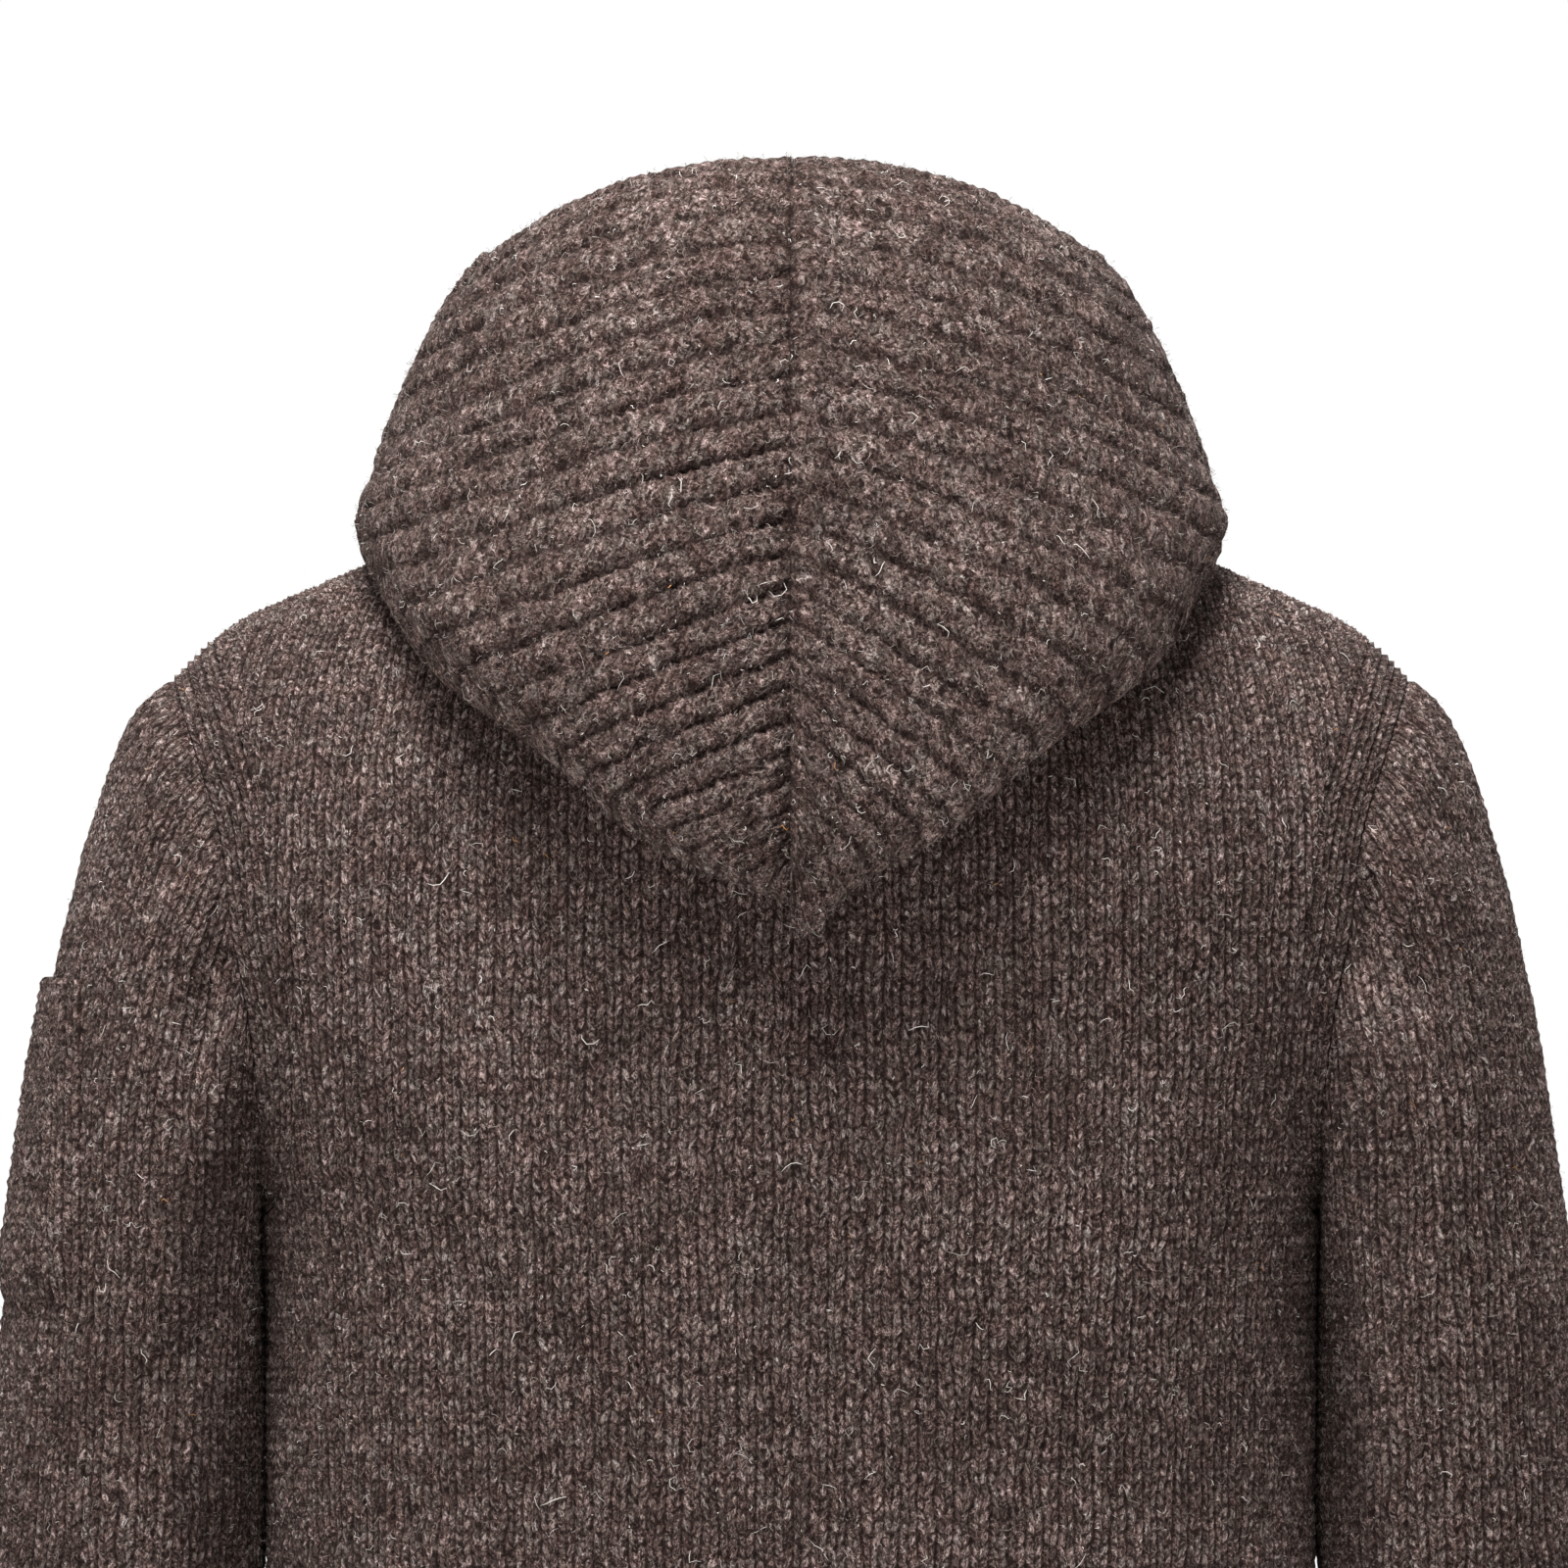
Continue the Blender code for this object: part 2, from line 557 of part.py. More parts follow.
def build_buttons(band_outer, collection):
    """Round buttons with a raised rim, turned from a profile, on the left band."""
    middle = np.linalg.norm(np.diff(BAND_LEFT_EDGES)) / 2 + BAND_LEFT_EDGES[0]
    front = band_outer[:, :, 1].min(axis=1)
    for number in range(BUTTON_COUNT):
        height = BUTTON_TOP + (BUTTON_BOTTOM - BUTTON_TOP) * number / (BUTTON_COUNT - 1)
        steps = np.linspace(-BUTTON_RADIUS, BUTTON_RADIUS, 9)
        seats = np.interp(height + steps, band_outer[:, 0, 2], front)
        slope = (seats[-1] - seats[0]) / (2 * BUTTON_RADIUS)
        seat = (seats - slope * steps).min() - SEAM_GAP
        profile = (
            (0.0, BUTTON_THICKNESS * 0.62),
            (BUTTON_RADIUS * 0.62, BUTTON_THICKNESS * 0.62),
            (BUTTON_RADIUS * 0.78, BUTTON_THICKNESS),
            (BUTTON_RADIUS * 0.92, BUTTON_THICKNESS * 0.92),
            (BUTTON_RADIUS, BUTTON_THICKNESS * 0.55),
            (BUTTON_RADIUS * 0.90, 0.0),
            (0.0, 0.0),
        )
        form = bmesh.new()
        verts = [form.verts.new((radius, 0.0, height_up)) for radius, height_up in profile]
        edges = [form.edges.new(pair) for pair in zip(verts, verts[1:])]
        bmesh.ops.spin(
            form, geom=verts + edges, cent=(0, 0, 0), axis=(0, 0, 1), angle=math.tau, steps=14, use_merge=True
        )
        bmesh.ops.remove_doubles(form, verts=form.verts, dist=0.00002)
        piece = finish_object(f"button_{number + 1}", form, BUTTON_HORN, collection)
        piece.location = (middle, seat, height)
        piece.rotation_euler = (math.pi / 2 - math.atan(slope), 0.0, 0.0)


# ---------------------------------------------------------------- hood


def neck_point(share):
    """Where a rib line of the hood meets the neckline: front edge 0, shoulder seam 0.5, nape 1."""
    first = math.asin(HOOD_FRONT_EDGE / NECK_HALF_WIDTH)
    if share < 0.5:
        face, turn = -1, first + (math.pi / 2 - first) * share / 0.5
    else:
        face, turn = 1, math.pi / 2 * (1 - share) / 0.5
    y, z = top_edge(min(math.sin(turn), 0.99999) * NECK_SHARE, face)
    out = np.array([math.sin(turn), face * math.cos(turn), 0.0])
    return np.array([NECK_HALF_WIDTH * math.sin(turn), face * y, z]) + out * HOOD_LAP + (0.0, 0.0, HOOD_NECK_LIFT)


def hood_line(share, side):
    """One rib line, from the centre seam round the fold and back up to the neckline."""
    table = np.array(HOOD)
    seam_y, seam_z, arch = through(table[:, 0], table[:, 1:4], share)[0]
    slid = share + HOOD_SLANT[side] * 4 * share * (1 - share)
    spots = through(table[:, 0], table[:, 4:], slid)[0].reshape(3, 3)
    turn, fold, rest = spots
    lowered = HOOD_TIP_DROOP[side] * ease(share, 0.45, 0.75)
    for spot in (turn, fold):
        spot[2] -= lowered
    sweep = np.linspace(0, math.pi / 2, HOOD_ARC_STEPS + 1)
    arc = np.stack(
        [
            turn[0] * np.sin(sweep),
            turn[1] + (seam_y - turn[1]) * np.cos(sweep),
            seam_z + (turn[2] - seam_z) * np.sin(sweep) ** arch,
        ],
        axis=1,
    )
    tight = ease(share, 0.40, 0.56)
    rolled = fold + (fold - turn) * np.array([1.0, 1.0, -1.0])
    under = rolled * tight + (fold + 0.35 * (rest - fold)) * (1 - tight)
    line = np.vstack([arc, fold, under, rest, neck_point(share)])
    along = np.concatenate([[0], np.cumsum(np.linalg.norm(np.diff(line, axis=0), axis=1) + 1e-6)])
    stops = np.concatenate([np.arange(HOOD_ARC_STEPS + 1), HOOD_LINE_STOPS])
    return through(along, line, np.interp(stops, np.arange(len(along)), along))


def body_tree():
    """The body's outer skin, for laying the hood on it."""
    verts, faces = [], []
    for face, opening in ((1, None), (-1, OPENING_HALF_WIDTH)):
        skin = panel(PANEL_LEVELS, face, opening)[0]
        for copy, sign in ((skin, 1), (mirrored(skin), -1)) if opening else ((skin, 1),):
            rows, columns = copy.shape[:2]
            start = len(verts)
            verts.extend(Vector(point) for point in copy.reshape(-1, 3))
            for i in range(rows - 1):
                for j in range(columns - 1):
                    corner = start + i * columns + j
                    loop = [corner, corner + columns, corner + columns + 1, corner + 1]
                    faces.append(loop if face * sign > 0 else loop[::-1])
    return BVHTree.FromPolygons(verts, faces)


def lay_on(tree, points):
    """Lift the points and the middles between them until all are clear of the body."""
    rows, columns = points.shape[:2]
    for _ in range(HOOD_SETTLE_PASSES):
        short = np.zeros((rows, columns))
        away = np.zeros_like(points)
        for reach_i, reach_j in ((0, 0), (0, 1), (1, 0), (1, 1)):
            for i, j in np.ndindex(rows - reach_i, columns - reach_j):
                k, m = i + reach_i, j + reach_j
                spot = Vector((points[i, j] + points[k, m]) / 2)
                near, normal, _, _ = tree.find_nearest(spot)
                missing = HOOD_CLEARANCE - (spot - near).dot(normal)
                short[i, j] = max(short[i, j], missing)
                short[k, m] = max(short[k, m], missing)
                if (i, j) == (k, m):
                    away[i, j] = normal
        padded = np.pad(short, ((1, 1), (0, 0)), mode="edge")
        short = np.maximum(short, (padded[:-2] + padded[2:]) / 2)
        away[:, -1] = (0.0, 0.0, 1.0)
        points += away * short[..., None]
    return points


def build_hood(collection):
    tree = body_tree()
    rows = 2 * HOOD_RIBS + 1
    for name, side in (("hood_left", 1), ("hood_right", -1)):
        base = np.array([hood_line(i / (rows - 1), side) for i in range(rows)])
        base[:, HOOD_ARC_STEPS:] = lay_on(tree, base[:, HOOD_ARC_STEPS:].copy())
        normals = evened(grid_normals(base, -1))
        normals[..., 0] *= np.clip(base[..., 0] / (HOOD_SEAM_EASE * HOOD_WALL), 0.0, 1.0)
        normals = unit(normals)
        base[:, 0, 0] = SEAM_GAP / 2
        base[-1, :, 0] = SEAM_GAP / 2
        inner = base - normals * HOOD_WALL
        relief = np.where(np.arange(rows) % 2 == 1, RIB_RIDGE * 1.25, -RIB_GROOVE)
        relief[0] = relief[-1] = 0.0
        columns = base.shape[1]
        fade = np.ones(columns)
        fade[0] = 0.4
        fade[HOOD_ARC_STEPS + 2:] = 0.0
        outer = base + normals * (relief[:, None] * fade[None, :])[..., None]
        if side < 0:
            outer, inner = mirrored(outer), mirrored(inner)
        wall(name, outer, inner, HOOD_KNIT, collection)


# ---------------------------------------------------------------- assembly


def main():
    for old in list(bpy.data.objects):
        bpy.data.objects.remove(old, do_unlink=True)
    collection = bpy.data.collections.new("hooded_cardigan")
    bpy.context.scene.collection.children.link(collection)
    build_panels(collection)
    build_hem(collection)
    build_sleeves(collection)
    build_pocket(collection)
    band_outer = build_bands(collection)
    build_buttons(band_outer, collection)
    build_hood(collection)


main()
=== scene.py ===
"""A chunky wool cardigan with its hood worn down, seen level from behind in a pale studio.

Metres, +Z up, the wearer's left at +X and the back at +Y, with the origin in the middle of the
neck. Every knitted piece is a closed wall whose outer skin follows its stitches: each wale has
four columns of points and each course two rows, slanted along the legs of the stitches.
"""

import math
from collections import namedtuple

import bmesh
import bpy
import numpy as np
from mathutils import Matrix, Vector
from mathutils.bvhtree import BVHTree


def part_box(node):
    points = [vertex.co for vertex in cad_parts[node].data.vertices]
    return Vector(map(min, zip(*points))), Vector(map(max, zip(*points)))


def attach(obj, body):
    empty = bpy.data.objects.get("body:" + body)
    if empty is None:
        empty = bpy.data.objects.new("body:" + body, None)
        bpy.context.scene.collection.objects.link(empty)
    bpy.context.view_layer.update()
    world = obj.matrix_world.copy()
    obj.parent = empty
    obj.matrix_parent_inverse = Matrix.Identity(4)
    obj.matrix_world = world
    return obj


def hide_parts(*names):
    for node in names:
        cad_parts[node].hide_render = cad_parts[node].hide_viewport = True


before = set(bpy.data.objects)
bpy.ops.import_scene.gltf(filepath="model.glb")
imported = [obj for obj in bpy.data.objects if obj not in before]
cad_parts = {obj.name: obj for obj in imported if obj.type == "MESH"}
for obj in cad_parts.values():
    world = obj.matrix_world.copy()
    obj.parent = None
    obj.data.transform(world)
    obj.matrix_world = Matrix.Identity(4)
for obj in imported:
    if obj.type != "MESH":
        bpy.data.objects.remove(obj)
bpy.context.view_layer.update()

# ---------------------------------------------------------------- back
# The back is one flat-knitted panel of heathered brown wool in plain knit, its wales upright.
# At each armhole it narrows by decreases three wales in, so a strip of wales follows the seam.
# It is sewn to the fronts at the shoulders and the sides, and filled out by the figure.

WALE = 0.0068
COURSE = 0.00445
LEG_RISE = 0.7
SEAM_STRIP = 3
SWAY = 0.2
BODY_WALL = 0.004
UNDERARM_HEIGHT = -0.238
SHOULDER_HEIGHT = -0.041
SHOULDER_HALF_WIDTH = 0.2265
ARMHOLE_MIDDLE = (UNDERARM_HEIGHT + SHOULDER_HEIGHT) / 2
ARMHOLE_RADIUS = (SHOULDER_HEIGHT - UNDERARM_HEIGHT) / 2
ARMHOLE_DEPTH_SHARE = 0.535
SECTION_POWER = 2.6
NECK_HALF_WIDTH = 0.085
NECK_SIDE_HEIGHT = 0.032
NECK_DEPTH = {1: 0.066, -1: 0.108}
NECK_DROP = {1: 0.014, -1: 0.087}
NECK_SHARE = NECK_HALF_WIDTH / SHOULDER_HALF_WIDTH
SHOULDER_SLOPE = 0.44
SHOULDER_TURN_START = 0.195
SHOULDER_TURN = 11.0
HEM_TOP = -0.615
HEM_BOTTOM = -0.680
BODY_ROWS = 96

# height, half width, depth behind and depth before the shoulder line
TORSO = np.array(
    [
        (-0.680, 0.1960, 0.127, 0.121),
        (-0.615, 0.2010, 0.132, 0.126),
        (-0.500, 0.1965, 0.124, 0.121),
        (-0.400, 0.1922, 0.118, 0.118),
        (-0.300, 0.1926, 0.120, 0.121),
        (-0.262, 0.1936, 0.123, 0.122),
        (-0.238, 0.1960, 0.125, 0.122),
        (-0.208, 0.2058, 0.126, 0.121),
        (-0.176, 0.2190, 0.127, 0.118),
        (-0.1395, 0.2308, 0.127, 0.116),
        (-0.095, 0.2380, 0.127, 0.116),
        (-0.070, 0.2470, 0.127, 0.116),
        (-0.041, 0.2579, 0.127, 0.116),
    ]
)

# A dense grid of points on one side of the cloth, with how far across (in wales) and how far up
# (in metres) each point lies in the knitting.
Surface = namedtuple("Surface", "points normals across up")

# One soft trough or ridge: the side it is on (1 back, -1 front), its middle, the way it runs in
# degrees from level, half its length, its half width and its depth (a ridge is below zero).
Fold = namedtuple("Fold", "face x z run length width depth")

BACK_FOLDS = (
    Fold(1, -0.176, -0.140, 82, 0.080, 0.012, 0.0042),
    Fold(1, -0.150, -0.165, 86, 0.085, 0.014, -0.0016),
    Fold(1, 0.174, -0.165, 96, 0.055, 0.010, 0.0034),
    Fold(1, 0.150, -0.150, 98, 0.070, 0.014, -0.0014),
    Fold(1, 0.085, -0.158, 20, 0.115, 0.048, 0.0090),
    Fold(1, -0.095, -0.163, -18, 0.110, 0.046, 0.0095),
    Fold(1, 0.020, -0.190, 12, 0.090, 0.017, 0.0016),
    Fold(1, -0.060, -0.235, -8, 0.085, 0.020, 0.0015),
    Fold(1, 0.080, -0.285, 10, 0.075, 0.017, 0.0016),
    Fold(1, -0.120, -0.330, 20, 0.060, 0.016, 0.0022),
    Fold(1, 0.140, -0.350, -24, 0.055, 0.014, 0.0024),
    Fold(1, -0.035, -0.420, 6, 0.110, 0.022, 0.0024),
    Fold(1, 0.070, -0.470, -9, 0.090, 0.018, 0.0026),
    Fold(1, -0.110, -0.505, 14, 0.075, 0.017, 0.0022),
    Fold(1, 0.010, -0.560, -4, 0.120, 0.020, -0.0018),
)


def through(knots, values, at):
    """Smooth curve through a table's rows, read at several places."""
    knots, values = np.asarray(knots, float), np.asarray(values, float)
    slopes = np.gradient(values, knots, axis=0)
    at = np.asarray(at, float)
    index = np.clip(np.searchsorted(knots, at, side="right") - 1, 0, len(knots) - 2)
    shape = (-1,) + (1,) * (values.ndim - 1)
    width = (knots[index + 1] - knots[index]).reshape(shape)
    t = (at - knots[index]).reshape(shape) / width
    start, end = values[index], values[index + 1]
    leave, arrive = slopes[index] * width, slopes[index + 1] * width
    return (
        start * (2 * t**3 - 3 * t**2 + 1)
        + leave * (t**3 - 2 * t**2 + t)
        + end * (3 * t**2 - 2 * t**3)
        + arrive * (t**3 - t**2)
    )


def unit(vectors):
    return vectors / np.maximum(np.linalg.norm(vectors, axis=-1, keepdims=True), 1e-12)


def ease(value, start, end):
    share = np.clip((value - start) / (end - start), 0, 1)
    return share * share * (3 - 2 * share)


def sampled(grid, rows, columns):
    """Value of a dense grid at fractional rows and columns."""
    i = np.clip(np.floor(rows).astype(int), 0, grid.shape[0] - 2)
    j = np.clip(np.floor(columns).astype(int), 0, grid.shape[1] - 2)
    s, t = rows - i, columns - j
    if grid.ndim == 3:
        s, t = s[..., None], t[..., None]
    return (
        grid[i, j] * (1 - s) * (1 - t)
        + grid[i + 1, j] * s * (1 - t)
        + grid[i, j + 1] * (1 - s) * t
        + grid[i + 1, j + 1] * s * t
    )


def steps_along(points, axis):
    """Length from the first point along each line of a grid."""
    steps = np.linalg.norm(np.diff(points, axis=axis), axis=-1)
    pad = [(0, 0), (0, 0)]
    pad[axis] = (1, 0)
    return np.pad(np.cumsum(steps, axis=axis), pad)


def surface_normals(points, sign):
    return unit(np.cross(np.gradient(points, axis=0), np.gradient(points, axis=1))) * sign


def seam_share(angles):
    """How far round its curve the body is cut, by the side seam (1) or by the armhole (less)."""
    depth = ARMHOLE_DEPTH_SHARE * np.cos(np.radians(np.minimum(angles, 0.0)))
    return (1 - depth**2) ** (1 / SECTION_POWER)


def shoulder_height(x):
    turned = np.maximum(0.0, x - SHOULDER_TURN_START)
    return NECK_SIDE_HEIGHT - SHOULDER_SLOPE * (x - NECK_HALF_WIDTH) - SHOULDER_TURN * turned**2


def body_points(shares, heights, angles, face):
    """Outer surface of the body: rows have one height and angle round the armhole, shares run across."""
    width, back, front = (column[:, None] for column in through(TORSO[:, 0], TORSO[:, 1:], heights).T)
    across = abs(shares) * seam_share(angles)[:, None]
    depth = (back if face > 0 else front) * np.sqrt(np.maximum(0.0, 1 - across**SECTION_POWER))
    inward = np.sqrt(np.maximum(0.0, 1 - (shares / NECK_SHARE) ** 2))
    beside = abs(shares) >= NECK_SHARE
    top_y = np.where(beside, 0.0, NECK_DEPTH[face] * inward)
    top_z = np.where(
        beside,
        shoulder_height(abs(shares) * SHOULDER_HALF_WIDTH),
        NECK_SIDE_HEIGHT - NECK_DROP[face] * inward**2,
    )
    angle = np.radians(np.maximum(angles, 0.0))[:, None]
    upper = (angles > 0)[:, None]
    raised = ARMHOLE_MIDDLE + (top_z - ARMHOLE_MIDDLE) * np.sin(angle)
    z = np.where(upper, raised, heights[:, None] + 0 * shares)
    y = np.where(upper, top_y + (depth - top_y) * np.cos(angle), depth)
    return np.stack([np.copysign(across, shares) * width, face * y, z], axis=-1)


def armhole_normals(seam, angles, face):
    """Outward directions on the left armhole seam, the same for the body and the sleeve."""
    along = unit(np.gradient(seam, axis=0))
    ends = abs(angles) == 90
    along[ends] = np.stack([0 * angles, -face * np.sign(angles), 0 * angles], axis=-1)[ends]
    normals = unit(np.cross(along, (1.0, 0.0, 0.0))) * face
    rise, reach = np.sin(np.radians(angles)), np.cos(np.radians(angles))
    normals[:, 0] += 0.45 * np.maximum(0.0, rise) ** 2 + 0.10 * reach
    return unit(normals)


# how far a fold's line sways, in its half widths, and the lips beside it as a share of its depth
FOLD_SWAY = 0.35
FOLD_LIP = 0.15
# from a side seam or armhole, from the hem and from the shoulder, the cloth is free this far off
SIDE_HOLD = 0.022
HEM_HOLD = 0.02
SHOULDER_HOLD = 0.03


def folded(points, normals, folds, hold):
    """Press folds into a surface. hold is 1 where the cloth is free and 0 where a seam holds it."""
    press = np.zeros(points.shape[:2])
    for fold in folds:
        turn = math.radians(fold.run)
        dx, dz = points[..., 0] - fold.x, points[..., 2] - fold.z
        along = (dx * math.cos(turn) + dz * math.sin(turn)) / fold.length
        across = (-dx * math.sin(turn) + dz * math.cos(turn)) / fold.width
        across = across + FOLD_SWAY * np.sin(along * 2.2 + fold.x * 40)
        window = np.clip(1 - along**2, 0, 1) ** 1.5
        shape = np.exp(-(across**2)) - FOLD_LIP * np.exp(-((abs(across) - 2.0) ** 2))
        press += fold.face * fold.depth * shape * window * np.clip(normals[..., 1] * fold.face * 3, 0, 1)
    return points - np.array([0.0, 1.0, 0.0]) * (press * hold)[..., None]


def body_grid(heights, angles, face, opening):
    """Points of the back (no opening) or the left front, and how far each lies from its middle line."""
    half_widths = through(TORSO[:, 0], TORSO[:, 1], heights) * seam_share(angles)
    whole = opening is None
    sweep = np.linspace(-math.pi / 2 if whole else 0.0, math.pi / 2, 141 if whole else 81)
    first = np.zeros((len(heights), 1)) if whole else (opening / half_widths)[:, None]
    points = body_points(first + (1 - first) * np.sin(sweep)[None, :], heights, angles, face)
    across = steps_along(points, 1)
    return points, across - across[:, -1:] / 2 if whole else across


def body_surface(face, opening, folds):
    """The back (no opening) or the left front, from the hem's seam up to the shoulder."""
    turns = np.arange(-87.0, 91.0, 3.0)
    angles = np.concatenate([np.full(BODY_ROWS, -90.0), turns])
    upper = ARMHOLE_MIDDLE + ARMHOLE_RADIUS * np.sin(np.radians(turns))
    heights = np.concatenate([np.linspace(HEM_TOP, UNDERARM_HEIGHT, BODY_ROWS), upper])
    points, across = body_grid(heights, angles, face, opening)
    normals = surface_normals(points, face)
    underarm, middle = BODY_ROWS - 1, np.searchsorted(angles, 0.0)
    across[:underarm] *= across[underarm, -1] / across[:underarm, -1:]
    up = np.repeat(points[:, :1, 2], points.shape[1], axis=1)
    up[middle:] = up[middle] + steps_along(points[middle:], 0)

    hold = ease(np.minimum(abs(across - across[:, -1:]), abs(across - across[:, :1])), 0, SIDE_HOLD)
    hold *= ease(up, HEM_TOP, HEM_TOP + HEM_HOLD) * ease(up[-1:] - up, 0, SHOULDER_HOLD)
    points = folded(points, normals, folds, hold)
    normals = surface_normals(points, face)
    seam_normals = armhole_normals(points[underarm:, -1], angles[underarm:], face)
    for column, sign in ((-1, 1.0), (0, -1.0)) if opening is None else ((-1, 1.0),):
        normals[:underarm, column] = (sign, 0.0, 0.0)
        normals[underarm:, column] = seam_normals * (sign, 1.0, 1.0)
    normals[0, :, 2] = 0.0
    shoulder = abs(points[-1, :, 0]) > NECK_HALF_WIDTH - 1e-5
    normals[-1, ~shoulder] = normals[-2, ~shoulder]
    normals[-1, shoulder, 1] = 0.0
    if opening is not None:
        normals[:, 0, 0] = 0.0
    return Surface(points, unit(normals), across / WALE, up)


def uneven(shape, spread, seed):
    """Soft random unevenness from -1 to 1, in lumps of about `spread` points."""
    rng = np.random.default_rng(seed)
    size = [max(2, int(length / lump)) + 2 for length, lump in zip(shape, spread)]
    places = [np.linspace(0, coarse - 1.001, fine) for coarse, fine in zip(size, shape)]
    return np.clip(sampled(rng.normal(size=size), *np.meshgrid(*places, indexing="ij")) * 0.6, -1, 1)


# Where each point of the knitting lies in a surface's rows and columns, whether an edge holds it,
# which wale it belongs to and how many courses up it is.
Places = namedtuple("Places", "rows columns edge wale level")


def knit_places(surface, course=COURSE, strip=SEAM_STRIP, rise=LEG_RISE, seed=5):
    """Lay the knitting on a surface. Wales keep their width and courses their height, bar some sway.

    Where the piece narrows, wales stop against a strip of wales that follows the seam, and
    courses stop at the piece's upper and lower ends.
    """
    low, high = surface.across[:, :1], surface.across[:, -1:]
    first, last = round(float(low.min())), round(float(high.max()))
    wales = np.linspace(first, last, (last - first) * 4 + 1)[None, :]
    spread = np.where(wales > 0, wales * high.max() / last, wales * low.min() / min(first, -1e-9))
    at_right, at_left = wales >= last - strip, (wales <= first + strip) & (first < 0)
    wanted = np.where(at_right, high - (last - wales), np.where(at_left, low + wales - first, spread))
    stopped = ~(at_right | at_left) & ((wanted > high - strip) | (wanted < low + strip) & (first < 0))
    wanted = np.where(at_right, wanted, np.minimum(wanted, high - strip))
    if first < 0:
        wanted = np.where(at_left, wanted, np.maximum(wanted, low + strip))
    first_free = low + strip if first < 0 else low
    loose = SWAY * np.clip(np.minimum(wanted - first_free, high - strip - wanted) / 1.5, 0, 1)
    wanted = wanted + loose * uneven(wanted.shape, (2.2, 5), seed)
    lines = np.arange(surface.across.shape[0], dtype=float)
    counted = np.arange(surface.across.shape[1])
    path = np.array([np.interp(at, known, counted) for at, known in zip(wanted, surface.across)])
    height = sampled(surface.up, np.repeat(lines[:, None], path.shape[1], axis=1), path)
    bottom = height[0].min()
    levels = np.arange(-math.ceil(rise * 2), math.ceil((height[-1].max() - bottom) / course) * 2 + 2) / 2
    wander = uneven((len(levels), path.shape[1]), (3, 4), seed + 1)
    rows, columns = np.zeros((2, len(levels), path.shape[1]))
    edge = np.zeros(rows.shape, bool)
    for k, wale in enumerate(wales[0]):
        shift = rise * abs(wale % 1.0 - 0.5) * 2
        at = np.interp(bottom + (levels + shift) * course, height[:, k], lines)
        halted = np.interp(at, lines, stopped[:, k].astype(float)) > 0.5
        drift = wander[:, k] * np.interp(at, lines, loose[:, k])
        target = bottom + (levels + np.where(halted, rise, shift + drift)) * course
        rows[:, k] = np.interp(target, height[:, k], lines)
        columns[:, k] = np.interp(rows[:, k], lines, path[:, k])
        edge[:, k] = halted | (target <= height[0, k]) | (target >= height[-1, k])
    edge[:, 0] = edge[:, -1] = True
    wale, level = np.meshgrid(wales[0], levels)
    return Places(rows, columns, edge, wale, level)


# how far the edge of a piece lies below its smooth surface
SUNK_EDGE = 0.0006


def plain_knit(places, seed, gap=0.0009, leg=0.0006, groove=0.0004):
    """Height of plain knit: two plump legs to a wale, hollows beside them and grooves between them."""
    from_gap = abs((places.wale + 0.5) % 1.0 - 0.5)
    on_leg = (from_gap > 0.1) & (from_gap < 0.4)
    crest = np.round(places.level * 2) % 2 == 1
    relief = np.where(on_leg, leg, np.where(from_gap < 0.1, -gap, -0.7 * gap))
    relief = relief + np.where(on_leg, 1.0, 0.4) * np.where(crest, 0.5 * groove, -groove)
    relief = relief + 0.0004 * uneven(relief.shape, (9, 11), seed)
    relief = relief + 0.0005 * uneven(relief.shape, (1.3, 1.6), seed + 1)
    return np.where(places.edge, -SUNK_EDGE, relief)


# the inner skin takes every sixth point, and points nearer than the weld become one
INNER_STEP = 6
WELD = 3e-6


def meshed(form, name):
    """The finished form as a new mesh."""
    mesh = bpy.data.meshes.new(name)
    form.to_mesh(mesh)
    form.free()
    return mesh


def placed(name, data):
    """A new object in the scene."""
    made = bpy.data.objects.new(name, data)
    bpy.context.scene.collection.objects.link(made)
    return made


